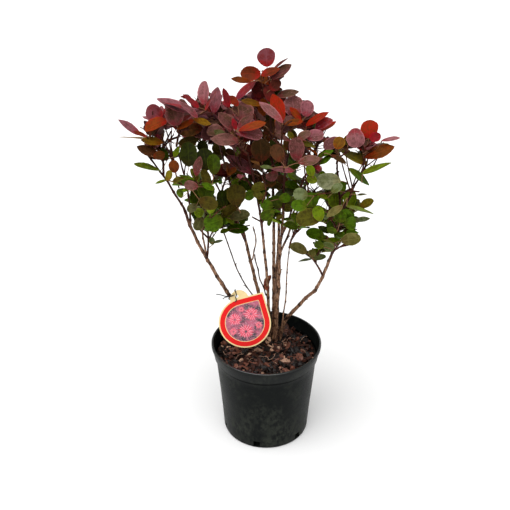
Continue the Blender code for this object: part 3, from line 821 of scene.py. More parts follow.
def stemFinish():
    # streaked and speckled old bark below, dark at the joints, that turns to smooth young bark above
    look = barkLook
    old, pale, dark, young = (look[name] for name in ("old", "pale", "dark", "young"))
    paint = Finish("stemBark", old, *look["shine"])
    streaks, patches, specks = (paint.noise(*look[name]) for name in ("streaks", "patches", "specks"))
    colour = paint.blend(streaks.step(*look["streakStep"]), old, pale)
    colour = paint.blend(patches.step(*look["patchStep"]), colour, dark)
    colour = paint.blend(paint.mark("tone"), colour, dark)
    colour = paint.blend(specks.step(*look["speckStep"]) * look["speckShare"], colour, pale)
    height = paint.height() + (patches - 0.5) * look["drift"]
    upper = height.step(look["youngStart"], look["youngFull"])
    paint.give("Base Color", paint.blend(upper, colour, young))
    paint.bump(streaks + patches, *look["relief"])
    return paint.material


def zigzagged(line, reach, length, joints, swing, facing, rng):
    # the line turned a little to one side and the other from joint to joint
    swings = [swing * rng.uniform(0.4, 1) * (1 if i % 2 else -1) for i in range(len(joints))]
    offsets = np.interp(reach, [0] + [joint[0] for joint in joints] + [length], [0] + swings + [0])
    bent = [line[0]]
    for before, here, after, offset in zip(line, line[1:], line[2:], offsets[1:]):
        bent.append(here + acrossOf((after - before).normalized(), facing) * offset)
    return bent + [line[-1]]


def scarTone(here, turn, joints):
    # how dark the bark is near a joint, most on the side of its bud
    tone = 0
    for place, side in joints:
        near = math.exp(-((here - place) / wood["scarLength"]) ** 2)
        tone = max(tone, near * (0.55 + 0.45 * math.cos(turn - side)))
    return tone * wood["scarTone"]


def barkLimb(heap, limb, rng):
    # the limb's line, drawn finer, with swollen joints, a bud on one side of them and a spur on some
    points, radii = list(limb.points), list(limb.radii)
    if limb.parentPoint:
        points.insert(0, limb.parentPoint)
        radii.insert(0, limb.radii[0] * wood["buriedGirth"])
    dead = limb.name.startswith("dead")
    length = sum((b - a).length for a, b in zip(points, points[1:]))
    steps = max(3, round(length / (len(points) - 1) / wood["ringSpacing"]))
    line = smoothLine(points, steps)
    sizes = np.interp(np.arange(len(line)) / steps, range(len(radii)), radii)
    sizes = sizes * wood["deadGirth" if dead else "girth"]
    reach = np.concatenate([[0], np.cumsum([(b - a).length for a, b in zip(line, line[1:])])])
    place, joints = wood["firstNode"], []
    while place < length:
        joints.append((place, anyTurn(rng)))
        place += rng.uniform(*wood["nodeSpacing"])
    starts = [anyTurn(rng) for _ in range(3)]
    swing = wood["deadZigzag" if dead else "zigzag"]
    line = zigzagged(line, reach, length, joints, swing, starts[0], rng)

    def relief(ring, turn):
        added = 0
        for (height, around, along), start in zip(wood["ridges"], starts):
            added += height * math.sin(around * turn + along * reach[ring] + start)
        added *= sizes[ring] * wood["roughness"]
        for place, side in joints:
            away = (reach[ring] - place) / wood["nodeLength"]
            if abs(away) < 3:
                bud = math.exp(-((1 - math.cos(turn - side)) / wood["budWidth"]))
                swelling = sizes[ring] * wood["nodeSwelling"] + bud * wood["budHeight"]
                added += math.exp(-away * away) * swelling
        return added

    turns = [k * math.tau / wood["sides"] for k in range(wood["sides"])]
    tones = [scarTone(here, turn, joints) for here in reach for turn in turns]
    heap.add(*tubeForm(line, list(sizes), wood["sides"], relief), tone=tones)
    for place, side in joints:
        if rng.random() < wood["spurShare"]:
            ring = int(np.searchsorted(reach, place))
            if 0 < ring < len(line) - 1:
                along = (line[ring + 1] - line[ring - 1]).normalized()
                way = (acrossOf(along, side) * 0.8 + along * rng.uniform(*wood["spurLean"])).normalized()
                size = min(wood["spurRadius"], sizes[ring] * 0.5)
                far = sizes[ring] * 0.9 + rng.uniform(*wood["spurLength"])
                spur = [line[ring], line[ring] + way * far * 0.8, line[ring] + way * far]
                radii = [size * share for share in wood["spurTaper"]]
                heap.add(*tubeForm(spur, radii, 6), tone=wood["spurTone"])


# A dried leaf that clings to a stem: pixel places of its base and tip, and its width there
husk = {"stem": "stem_centre", "base": (271, 275), "tip": (266, 291), "wide": 8, "inFront": 0.009}
huskLook = {
    "low": (0.110, 0.020, 0.010),
    "high": (0.330, 0.095, 0.045),
    "shine": (0.6, 0.12),
    "grain": (260, 4, 0.65),
    "patches": (0.40, 0.62),
    "relief": (0.5, 0.0008),
}


def addHusk(heap, limb):
    x, y, depth = photoPixels(np.array([point[:] for point in smoothLine(limb.points, 8)]))
    nearest = int(np.argmin(np.hypot(x - husk["base"][0], y - husk["base"][1])))
    start = depth[nearest] - husk["inFront"]
    base, length, width, poses = shownPoses(husk["base"], husk["tip"], husk["wide"], start)
    corners = standBlade(bladeCorners("folded", length, width, random.Random(3)), base, *poses[0])
    heap.add(corners, bladeFaces, 1, bladeMarks)


def pieceName(node, ending=""):
    words = node.split("_")
    return words[0] + "".join(word.capitalize() for word in words[1:]) + ending


def dressLimbs(limbs):
    living, dead = stemFinish(), mottledFinish("deadTwig", deadLook)
    dried = mottledFinish("driedLeaf", huskLook)
    for index, (name, limb) in enumerate(limbs.items()):
        heap = Heap()
        barkLimb(heap, limb, random.Random(500 + index))
        finish = dead if name.startswith("dead") else living
        if name == husk["stem"]:
            addHusk(heap, limb)
        settle(heap.make(pieceName(name, "Bark"), [finish, dried], 60), "stem_bark", name)
    print("%d limbs barked" % len(limbs))


# Foliage: each mass has a leader from its limb, side twigs on it, and leaves on both

# Limb it grows on, place along that limb, tip of the crown, side twigs, leaves, leaf size and colour
masses = {
    "foliage_top": ("stem_centre", 1.0, (0.004, 0.022, 0.780), 2, 12, 0.85, "purple"),
    "foliage_top_left": ("stem_centre", 0.82, (-0.042, 0.050, 0.736), 3, 13, 1.0, "purple"),
    "foliage_top_right": ("bough_top_right", 1.0, (0.044, 0.010, 0.724), 3, 13, 1.0, "purple"),
    "foliage_right_shoulder": ("bough_right_shoulder", 1.0, (0.098, 0.055, 0.664), 3, 13, 1.0, "purple"),
    "foliage_crest_left": ("stem_left_back", 1.0, (-0.102, 0.042, 0.702), 3, 13, 1.0, "purple"),
    "foliage_left_shoulder": ("bough_left_inner", 1.0, (-0.142, -0.035, 0.718), 3, 13, 1.0, "purple"),
    "foliage_left_upper": ("bough_left_outer", 0.60, (-0.192, 0.030, 0.686), 3, 13, 1.0, "purple"),
    "foliage_left_tip": ("bough_left_outer", 1.0, (-0.228, -0.022, 0.676), 1, 8, 0.78, "purple"),
    "foliage_centre_front": ("stem_centre_left", 1.0, (-0.064, -0.088, 0.704), 3, 13, 1.1, "purple"),
    "foliage_centre_inner": ("stem_centre_left", 0.82, (-0.082, -0.014, 0.646), 2, 12, 1.1, "purple"),
    "foliage_front": ("stem_front", 1.0, (0.006, -0.105, 0.708), 3, 13, 1.1, "purple"),
    "foliage_centre_right": ("bough_centre_right", 1.0, (0.080, -0.078, 0.658), 3, 13, 1.05, "purple"),
    "foliage_heart": ("stem_centre", 0.62, (-0.016, -0.016, 0.640), 2, 12, 1.1, "bronze"),
    "foliage_far_top": ("bough_right_far", 1.0, (0.182, -0.005, 0.660), 1, 8, 0.88, "purple"),
    "foliage_far_side": ("bough_right_far", 0.62, (0.196, 0.035, 0.624), 1, 7, 0.80, "bronze"),
    "foliage_right_inner": ("stem_right", 1.0, (0.130, 0.020, 0.654), 2, 10, 0.85, "bronze"),
    "foliage_right_mid": ("bough_right_shoulder", 0.55, (0.062, -0.012, 0.600), 2, 11, 0.95, "green"),
    "foliage_right_olive": ("stem_right", 0.74, (0.160, -0.074, 0.602), 2, 11, 0.85, "bronze"),
    "foliage_right_green": ("stem_right", 0.50, (0.098, -0.090, 0.566), 2, 12, 0.95, "green"),
    "foliage_right_low": ("stem_right", 0.36, (0.160, 0.016, 0.508), 2, 12, 0.90, "green"),
    "foliage_right_front_low": ("stem_right", 0.28, (0.144, -0.056, 0.492), 2, 11, 0.80, "green"),
    "foliage_right_sprig": ("stem_right", 0.12, (0.074, -0.028, 0.444), 0, 6, 0.62, "green"),
    "foliage_centre_green": ("stem_centre_left", 0.64, (-0.002, -0.058, 0.574), 2, 11, 0.85, "green"),
    "foliage_centre_low": ("stem_thin", 1.0, (0.064, -0.016, 0.510), 2, 9, 0.75, "green"),
    "foliage_left_green": ("bough_left_front", 1.0, (-0.116, -0.084, 0.630), 3, 13, 0.95, "green"),
    "foliage_left_low": ("bough_left_front", 0.45, (-0.088, -0.052, 0.546), 2, 11, 0.90, "green"),
    "foliage_left_bottom": ("stem_left_back", 0.60, (-0.064, 0.012, 0.520), 2, 11, 0.82, "green"),
    "foliage_left_side": ("stem_left", 0.70, (-0.118, 0.042, 0.510), 2, 11, 0.75, "green"),
    "foliage_back_left": ("bough_back_left", 1.0, (-0.150, 0.140, 0.640), 3, 13, 1.1, "purple"),
    "foliage_back": ("stem_back", 1.0, (-0.022, 0.135, 0.668), 3, 13, 1.15, "purple"),
    "foliage_back_right": ("bough_back_right", 1.0, (0.105, 0.148, 0.632), 3, 13, 1.1, "purple"),
    "foliage_back_low_left": ("bough_back_left", 0.50, (-0.070, 0.165, 0.535), 2, 12, 0.95, "green"),
    "foliage_back_low_right": ("stem_back", 0.70, (0.030, 0.210, 0.520), 2, 12, 0.95, "green"),
    "foliage_back_side": ("bough_back_right", 0.50, (0.130, 0.085, 0.520), 2, 12, 0.95, "green"),
}
growth = {
    "leaderRadii": (0.0021, 0.0016),
    "leaderSteps": 3,
    "leaderBow": 0.0030,
    "leaderCrook": 0.0008,
    "leaderShare": 0.55,
    "firstLeaf": 0.22,
    "twigRadii": (0.0017, 0.0013),
    "twigPlaces": (0.30, 0.75),
    "twigSpread": (0.8, 1.3),
    "twigLengths": (0.36, 0.58),
    "twigShortest": 0.024,
    "twigRise": 0.15,
    "fineTwigs": 2,
    "fineRadii": (0.0012, 0.0009),
    "shootRadii": (0.0012, 0.0012, 0.0009),
    "finePlaces": (0.25, 0.85),
    "fineSpread": (0.7, 1.5),
    "fineRise": 0.2,
    "fineLengths": (0.018, 0.034),
    "bareRadii": (0.0014, 0.0012, 0.0009),
    "shootBow": 0.06,
    "spots": (0.15, 0.3, 0.45, 0.6, 0.75, 0.9, 1.0),
    "lineSteps": 6,
    "ringSwelling": 0.16,
    "crownLeafReach": 0.030,
    "massMiddle": 0.85,
    "clearance": 0.0010,
    "cellMargin": 0.0004,
    "cellSlack": 0.009,
    "tries": 24,
    "leafTries": 26,
    "moreLeaves": 2.9,
    "lowTints": 0.42,
}
leaf = {
    "length": 0.051,
    "width": 0.86,
    "thickness": 0.00055,
    "stalk": 0.021,
    "stalkRadius": 0.00065,
    "leans": (72, 26),
    "leanSpread": 12,
    "level": 0.45,
    "rise": 0.25,
    "faceOut": (-0.2, 0.9),
    "faceBack": 0.15,
    "faceSpread": 0.45,
    "shares": (5, 4, 3, 2, 2, 0, 1),
    "sizes": (0.66, 1.04),
    "widths": (0.92, 1.08),
    "stalks": (0.7, 1.2),
    "shrink": 0.025,
    "turnOn": 0.5,
    "rows": (0.05, 0.17, 0.34, 0.51, 0.68, 0.83, 0.95),
    "columns": (-1, -0.55, 0, 0.55, 1),
    "widest": (0.42, 0.62),
    "widestDrift": 0.04,
    "shoulder": 0.60,
    "ripple": (0.03, 9),
    "foldSpread": (0.6, 1.3),
    "cupSpread": (0.5, 1.3),
    "cupDepth": 0.8,
    "edgeWaves": 11,
    "edgeShift": 0.8,
    "edgeDepth": 1.6,
    "bendSpread": (0.4, 1.3),
    "leastBend": 0.02,
    "rollSpread": 0.25,
    "stalkUnder": (0.03, 0.0004),
    "stalkBow": 0.12,
    "stalkTaper": (1.25, 1, 1, 0.8),
}


def insideCell(points, own, seeds, slack=0.0):
    here = np.array(seeds[own][:])
    others = np.array([seed[:] for name, seed in seeds.items() if name != own])
    p = np.array([point[:] for point in points])
    between = others - here
    reach = np.linalg.norm(between, axis=1)
    past = ((p[:, None, :] - (here + others) / 2) * between).sum(2) / reach
    return bool((past < slack - growth["cellMargin"]).all())


def woodTree(points, radii):
    return BVHTree.FromPolygons(*tubeForm(points, radii, 6))


class Woodpile:
    # the wood so far, each line grown by a margin, to keep twigs and leaves off it

    def __init__(self):
        self.trees = []

    def add(self, limb, owner):
        self.trees.append((owner, woodTree(limb.points, [r + growth["clearance"] for r in limb.radii])))

    def clear(self, tree, *owners):
        return not any(name not in owners and other.overlap(tree) for name, other in self.trees)


def leaderOf(name, limbs, pile, rng):
    parent, place, crown = masses[name][:3]
    reach = Vector(crown) - limbs[parent].at(place)[0]
    end = Vector(crown) - reach.normalized() * growth["crownLeafReach"]
    for attempt in range(growth["tries"]):
        bow = acrossOf(reach.normalized(), anyTurn(rng)) * growth["leaderBow"] * (1 + attempt)
        start = branchStart(limbs[parent], place, end, bow, growth["leaderRadii"][0])
        points = curvedLine(start, end, bow, growth["leaderSteps"], rng, growth["leaderCrook"])
        radii = tapered(growth["leaderRadii"], growth["leaderSteps"] + 1)
        leader = Limb(name, points, radii, limbs[parent].at(place)[0])
        butt = woodTree(points[:2], radii[:2])
        if pile.clear(butt, name, parent) and pile.clear(woodTree(points[1:], radii[1:]), name):
            break
    return leader


def sideTwigsOf(name, leader, pile, seeds, rng):
    twigs = []
    length = (leader.points[-1] - leader.points[0]).length
    for index in range(masses[name][3]):
        for _ in range(growth["tries"]):
            root, along, _ = leader.at(rng.uniform(*growth["twigPlaces"]))
            turn = index * goldenTurn + eitherWay(rng, 0.9)
            way = (along + acrossOf(along, turn) * rng.uniform(*growth["twigSpread"])).normalized()
            reach = max(growth["twigShortest"], length * rng.uniform(*growth["twigLengths"]))
            end = root + way * reach + up * reach * growth["twigRise"]
            free = pile.clear(woodTree([root, end], growth["twigRadii"]), name)
            if free and insideCell([root.lerp(end, 0.5), end], name, seeds):
                twigs.append(Limb(name, [root, end], growth["twigRadii"]))
                break
    return twigs


def fineTwigsOf(name, leader, twigs, pile, seeds, rng):
    # shorter shoots on the leader and its side twigs, which only the dressed bush has
    shoots = []
    for twig in [leader] + twigs:
        for index in range(growth["fineTwigs"]):
            for _ in range(growth["tries"]):
                root, along, _ = twig.at(rng.uniform(*growth["finePlaces"]))
                side = acrossOf(along, anyTurn(rng))
                way = (along + side * rng.uniform(*growth["fineSpread"])).normalized()
                end = root + (way + up * growth["fineRise"]) * rng.uniform(*growth["fineLengths"])
                free = pile.clear(woodTree([root, end], growth["fineRadii"]), name)
                if free and insideCell([end], name, seeds, growth["cellSlack"]):
                    shoots.append(Limb(name, [root, end], growth["fineRadii"]))
                    break
    return shoots


def growWood(limbs):
    # the leader, side twigs and fine shoots of each mass
    pile = Woodpile()
    for limb in limbs.values():
        pile.add(limb, limb.name)
    leaders, twigs, shoots, seeds, rngs = {}, {}, {}, {}, {}
    for index, name in enumerate(masses):
        rngs[name] = random.Random(101 + index)
        leaders[name] = leaderOf(name, limbs, pile, rngs[name])
        seeds[name] = leaders[name].at(growth["massMiddle"])[0]
        pile.add(leaders[name], name)
    for name, leader in leaders.items():
        twigs[name] = sideTwigsOf(name, leader, pile, seeds, rngs[name])
        for twig in twigs[name]:
            pile.add(twig, name)
    for name, leader in leaders.items():
        shoots[name] = fineTwigsOf(name, leader, twigs[name], pile, seeds, rngs[name])
    return leaders, twigs, shoots, seeds, rngs


# Leaf blades: round to oval, folded, cupped or drooping, each a thin closed shell

# Width, place of the widest part, fold, cup, bend, wave of the edge, and bluntness of the tip
leafKinds = {
    "round": (1.04, 0.52, 0.10, 0.9, 0.35, 0.010, 0.50),
    "oval": (0.84, 0.54, 0.16, 0.5, 0.45, 0.012, 0.62),
    "folded": (0.90, 0.55, 0.62, 0.2, 0.50, 0.016, 0.55),
    "cupped": (0.98, 0.56, 0.06, 2.6, -0.35, 0.008, 0.50),
    "drooping": (0.90, 0.50, 0.20, -0.8, 0.95, 0.014, 0.60),
    "edgeOn": (0.70, 0.50, 0.05, 0.06, 0.09, 0.003, 0.85),
    "faceOn": (1.00, 0.53, 0.12, 0.4, 0.22, 0.014, 0.52),
}


def bladeTemplate():
    # faces of a blade, and where each corner lies across and along it; both sides share the edge
    columns, rows = leaf["columns"], leaf["rows"]
    wide, last = len(columns), len(rows) - 1
    base, tip = len(rows) * wide, len(rows) * wide + 1
    places = [(u, v) for v in rows for u in columns] + [(0, 0), (0, 1)]
    upper = {(r, c): r * wide + c for r in range(last + 1) for c in range(wide)}
    lower = dict(upper)
    for r, v in enumerate(rows):
        for c in range(1, wide - 1):
            lower[r, c] = len(places)
            places.append((columns[c], v))
    faces = []
    for grid in (upper, lower):
        side = [(grid[r, c], grid[r, c + 1], grid[r + 1, c + 1], grid[r + 1, c])
                for r in range(last) for c in range(wide - 1)]
        for c in range(wide - 1):
            side += [(base, grid[0, c + 1], grid[0, c]), (grid[last, c], grid[last, c + 1], tip)]
        faces += side if grid is upper else [(face[0], *reversed(face[1:])) for face in side]
    under = [0] * (tip + 1) + [1] * (len(places) - tip - 1)
    return np.array(places, float), np.array(under, float), faces, faces[:len(faces) // 2], tip + 1


bladePlaces, bladeUnder, bladeFaces, bladeTopFaces, bladeTopCount = bladeTemplate()
bladeMarks = [((u + 1) / 2, v, w) for (u, v), w in zip(bladePlaces.tolist(), bladeUnder.tolist())]


def bladeCorners(kind, length, width, rng):
    # a blade along +Y from its stalk, with its upper face to +Z
    _, widest, fold, cup, bend, wave, tip = leafKinds[kind]
    u, v = bladePlaces[:, 0], bladePlaces[:, 1]
    lowest, highest = leaf["widest"]
    m = min(highest, max(lowest, widest + eitherWay(rng, leaf["widestDrift"])))
    near = np.clip(1 - ((m - v) / m) ** 2, 0, 1) ** leaf["shoulder"]
    far = np.clip(1 - ((v - m) / (1 - m)) ** 2, 0, 1) ** tip
    edge = np.where(v < m, near, far) * width / 2
    ripple, ripples = leaf["ripple"]
    edge *= 1 + ripple * np.sin(v * ripples + rng.uniform(0, 6)) * np.sign(u + 0.01)
    x = u * edge
    fold *= rng.uniform(*leaf["foldSpread"])
    lift = np.abs(x) * math.sin(fold)
    x = x * math.cos(fold)
    lift += cup * rng.uniform(*leaf["cupSpread"]) * x ** 2 / width * leaf["cupDepth"]
    start = anyTurn(rng)
    waves = np.sin(v * leaf["edgeWaves"] + start + np.sign(u) * leaf["edgeShift"])
    lift += wave * length * waves * u ** 2 * leaf["edgeDepth"]
    lift -= bladeUnder * leaf["thickness"]
    bend *= rng.uniform(*leaf["bendSpread"])
    bend = bend if abs(bend) > leaf["leastBend"] else leaf["leastBend"]
    turn = bend * v
    y = np.sin(turn) / bend * length + lift * np.sin(turn)
    z = -(1 - np.cos(turn)) / bend * length + lift * np.cos(turn)
    roll = eitherWay(rng, leaf["rollSpread"]) * v
    return np.stack([x * np.cos(roll) - z * np.sin(roll), y, x * np.sin(roll) + z * np.cos(roll)], 1)


def standBlade(corners, base, way, normal):
    # turns the blade's own frame to its way and face, with its root at the base
    side = way.cross(normal)
    return corners @ np.array([side[:], way[:], normal[:]]) + np.array(base[:])


def leafWays(twigWay, turn, lean, rng):
    # ways of the stalk and the blade, and that of the blade's face, which looks up and outwards
    outward = acrossOf(twigWay, turn)
    stalkWay = (twigWay * math.cos(lean) + outward * math.sin(lean)).normalized()
    level = Vector((outward.x, outward.y, 0))
    rise, spread = leaf["rise"], leaf["faceSpread"]
    bladeWay = (stalkWay + level * leaf["level"] + up * eitherWay(rng, rise)).normalized()
    face = up + level * rng.uniform(*leaf["faceOut"]) - twigWay * leaf["faceBack"]
    face += Vector((eitherWay(rng, spread), eitherWay(rng, spread), 0))
    return stalkWay, bladeWay, (face - bladeWay * face.dot(bladeWay)).normalized()


def leafSites(leader, twigs, shoots, count):
    onLeader = round(count * growth["leaderShare"]) if twigs or shoots else count
    first = growth["firstLeaf"]
    sites = []
    for i in range(onLeader):
        step = i / (onLeader - 1)
        sites.append((leader, first + (1 - first) * step ** 0.7, step))
    others = twigs + shoots
    rest = count - onLeader
    for i in range(rest):
        step = (i // len(others) + 1) / math.ceil(rest / len(others))
        sites.append((others[i % len(others)], first + (1 - first) * step, step))
    return sites


# Tints: the blade's colour, that of its patches and the one near its base; a few are darker copies that
# paint shade, and lighter ones that paint light, onto the leaves dealt them

tints = {
    "mauve": ((0.235, 0.076, 0.090), (0.135, 0.048, 0.042), (0.230, 0.014, 0.024)),
    "rose": ((0.290, 0.105, 0.114), (0.190, 0.070, 0.062), (0.280, 0.018, 0.026)),
    "berry": ((0.215, 0.050, 0.060), (0.250, 0.014, 0.013), (0.170, 0.006, 0.024)),
    "greyMauve": ((0.155, 0.062, 0.052), (0.095, 0.050, 0.024), (0.150, 0.020, 0.020)),
    "plum": ((0.110, 0.034, 0.031), (0.058, 0.026, 0.012), (0.130, 0.010, 0.014)),
    "crimson": ((0.260, 0.007, 0.014), (0.170, 0.012, 0.014), (0.280, 0.004, 0.008)),
    "wine": ((0.110, 0.014, 0.011), (0.068, 0.013, 0.006), (0.150, 0.007, 0.006)),
    # scarlet and orange: the leaves' own red and orange, made lighter as painted light shining through the
    # blade
    "scarlet": ((0.270, 0.012, 0.002), (0.200, 0.036, 0.003), (0.250, 0.004, 0.002)),
    "orange": ((0.205, 0.038, 0.003), (0.120, 0.034, 0.004), (0.220, 0.014, 0.002)),
    "rust": ((0.130, 0.026, 0.002), (0.078, 0.024, 0.003), (0.150, 0.014, 0.002)),
    "ochre": ((0.200, 0.098, 0.004), (0.145, 0.055, 0.004), (0.200, 0.036, 0.003)),
    "umber": ((0.074, 0.027, 0.009), (0.044, 0.022, 0.005), (0.090, 0.015, 0.005)),
    "bronze": ((0.205, 0.080, 0.020), (0.105, 0.045, 0.008), (0.170, 0.022, 0.007)),
    "olive": ((0.098, 0.090, 0.008), (0.058, 0.036, 0.005), (0.105, 0.050, 0.006)),
    "green": ((0.061, 0.122, 0.002), (0.038, 0.054, 0.002), (0.070, 0.082, 0.003)),
    "bright": ((0.132, 0.200, 0.004), (0.090, 0.108, 0.003), (0.124, 0.140, 0.004)),
    "greyGreen": ((0.160, 0.190, 0.082), (0.085, 0.110, 0.022), (0.100, 0.095, 0.020)),
    "greyOlive": ((0.105, 0.098, 0.036), (0.056, 0.052, 0.010), (0.100, 0.070, 0.020)),
    # painted shade: a dark copy of green, for leaves in shadow deep in the crown
    "deepGreen": ((0.036, 0.060, 0.001), (0.021, 0.026, 0.001), (0.036, 0.034, 0.001)),
    # painted shade: a dark copy of olive, for leaves in shadow deep in the crown
    "deepOlive": ((0.060, 0.046, 0.004), (0.030, 0.020, 0.003), (0.052, 0.026, 0.003)),
    "garnet": ((0.150, 0.036, 0.044), (0.230, 0.014, 0.010), (0.300, 0.008, 0.007)),
    "brick": ((0.190, 0.017, 0.004), (0.120, 0.020, 0.005), (0.250, 0.006, 0.003)),
    "moss": ((0.170, 0.128, 0.006), (0.100, 0.085, 0.005), (0.160, 0.062, 0.004)),
    # painted light: a lighter copy of greyOlive, for leaves that lie in shade
    "paleOlive": ((0.185, 0.160, 0.048), (0.115, 0.104, 0.020), (0.150, 0.100, 0.030)),
    # painted light: a lighter copy of greyGreen, for a leaf that faces away from the light
    "paleSage": ((0.290, 0.300, 0.165), (0.200, 0.220, 0.090), (0.220, 0.190, 0.070)),
    "shadeGreen": ((0.017, 0.022, 0.001), (0.011, 0.010, 0.001), (0.020, 0.013, 0.001)),
}
dusted = ("mauve", "rose", "berry", "greyMauve", "plum")
tintNames = list(tints)
# each mass's tints for its upper and lower leaves; the lower deals hold the dark copies painted as shade
tintDeals = {
    "purpleHigh": {"mauve": 4, "berry": 4, "rose": 1, "greyMauve": 4, "plum": 4, "wine": 2, "scarlet": 1,
                   "orange": 1, "umber": 1},
    "purpleLow": {"umber": 6, "plum": 3, "bronze": 1, "deepOlive": 4, "wine": 3, "deepGreen": 4},
    "bronzeHigh": {"bronze": 3, "greyMauve": 2, "umber": 3, "mauve": 1, "plum": 1, "ochre": 1, "olive": 3},
    "bronzeLow": {"olive": 4, "green": 4, "deepOlive": 1, "deepGreen": 2},
    "greenHigh": {"green": 6, "olive": 3, "greyGreen": 2, "bright": 4, "greyOlive": 1},
    "greenLow": {"green": 6, "olive": 2, "greyGreen": 1, "bright": 4, "deepGreen": 3},
}


leafLook = {
    "roughness": 0.5,
    "gloss": 0.055,
    "rib": (0.02, 0.085),
    "veinCount": 9.0,
    "veinSlant": 2.6,
    "vein": (0.76, 0.99),
    "veinEnd": (0.72, 1.0),
    "veinShare": 0.55,
    "toneDrift": 0.35,
    "patches": (0.46, 0.60),
    "blush": (0.36, 0.68),
    "flush": 0.85,
    "blotches": (0.44, 0.60),
    "blotch": {"share": 0.60, "shade": 0.55},
    "powder": (0.48, 0.64),
    "specks": (0.60, 0.68),
    # dust share, its haze, and the share of the painted backlit rim, for plain and bloom-dusted tints
    "dust": {"plain": (0.32, 0.020, 0.40), "dusted": (0.55, 0.10, 0.52)},
    "dustyEdge": (0.62, 1.0),
    "dustyTip": (0.80, 1.0),
    "dustElsewhere": 0.25,
    # where the painted pale rim of a backlit edge starts and is full, across the blade
    "backlitRimStart": (0.86, 1.0),
    "paler": {"dust": 1.7, "specks": 1.6, "rim": 1.9},
    "paleVeins": {"share": 0.34, "colour": (1.5, 0.020)},
    "underside": {"colour": (1.05, 0.012), "veins": (1.6, 0.04), "veinShare": 0.6},
    "relief": (0.45, 0.0014),
    "patterns": {
        "clouds": (46, 3, 0.55),
        "blotches": (150, 4, 0.6),
        "powder": (520, 3, 0.7),
    },
    "speckPattern": (300, 2, 0.6),
}
stalkLook = {
    "low": (0.13, 0.035, 0.020),
    "high": (0.28, 0.16, 0.075),
    "shine": (0.5, 0.12),
    "grain": (120, 2),
}
twigLook = {
    "low": (0.038, 0.010, 0.006),
    "high": (0.135, 0.044, 0.024),
    "shine": (0.5, 0.06),
    "grain": (160, 4, 0.6),
    "patches": (0.42, 0.72),
    "relief": (0.3, 0.0005),
}


def lifted(colour, share, haze):
    # a paler shade of a colour, that keeps most of its hue
    return tuple(c * share + haze * (0.15 + 0.85 * c / max(colour)) for c in colour)


def leafFinish(name, tint):
    top, patch, flush = tint
    look, paler, below = leafLook, leafLook["paler"], leafLook["underside"]
    paint = Finish("leaf" + name[0].upper() + name[1:], top, look["roughness"], look["gloss"])
    leafMap = paint.node("UVMap", {}, uv_map="leafMap")
    across = paint.calc("ABSOLUTE", paint.node("SeparateXYZ", {0: leafMap}) - 0.5) * 2.0
    along = paint.node("SeparateXYZ", {0: leafMap}, 1)
    # a midrib, and side veins that run out and forward from it
    rib = 1.0 - across.step(*look["rib"])
    saw = paint.calc("PINGPONG", along * look["veinCount"] - across * look["veinSlant"], 0.5) * 2.0
    sideVeins = saw.step(*look["vein"]) * (1.0 - across.step(*look["veinEnd"]))
    veins = paint.calc("MAXIMUM", rib, sideVeins * look["veinShare"])
    # patches, a flush of colour near the base, and darker blotches
    clouds, blotches, grains = (paint.noise(*pattern) for pattern in look["patterns"].values())
    powder = grains.step(*look["powder"])
    drift = clouds + (paint.mark("tone") - 0.5) * look["toneDrift"]
    colour = paint.blend(drift.step(*look["patches"]), top, patch)
    nearBase = 1.0 - (along + blotches * 0.5).step(*look["blush"])
    colour = paint.blend(nearBase * look["flush"], colour, flush)
    blotched = blotches.step(*look["blotches"]) * look["blotch"]["share"]
    colour = paint.blend(blotched, colour, lifted(patch, look["blotch"]["shade"], 0))
    # pale dust towards the edge and the tip, paler veins, and a pale rim painted as light through the edge
    # of a leaf lit from behind
    dustShare, haze, backlitRimShare = look["dust"]["dusted" if name in dusted else "plain"]
    outer = paint.calc("MAXIMUM", across.step(*look["dustyEdge"]), along.step(*look["dustyTip"]))
    dust = powder * (outer + look["dustElsewhere"]) * dustShare
    colour = paint.blend(dust, colour, lifted(top, paler["dust"], haze))
    # pale specks of bloom, which also paint silvery glints of light
    if name in dusted:
        specks = paint.noise(*look["speckPattern"]).step(*look["specks"]) * clouds
        colour = paint.blend(specks, colour, lifted(top, paler["specks"], haze))
    paleVeins = look["paleVeins"]
    colour = paint.blend(veins * paleVeins["share"], colour, lifted(top, *paleVeins["colour"]))
    # painted light: a pale rim where the blade's edge is lit from behind
    rim = across.step(*look["backlitRimStart"]) * backlitRimShare
    colour = paint.blend(rim, colour, lifted(top, paler["rim"], haze))
    # the underside is plainer and paler
    paleBelow = lifted(top, *below["colour"]), lifted(top, *below["veins"])
    under = paint.blend(veins * below["veinShare"], *paleBelow)
    paint.give("Base Color", paint.blend(paint.mark("underside").step(0.05, 0.3), colour, under))
    paint.bump(blotches * 0.8 - veins, *look["relief"])
    return paint.material


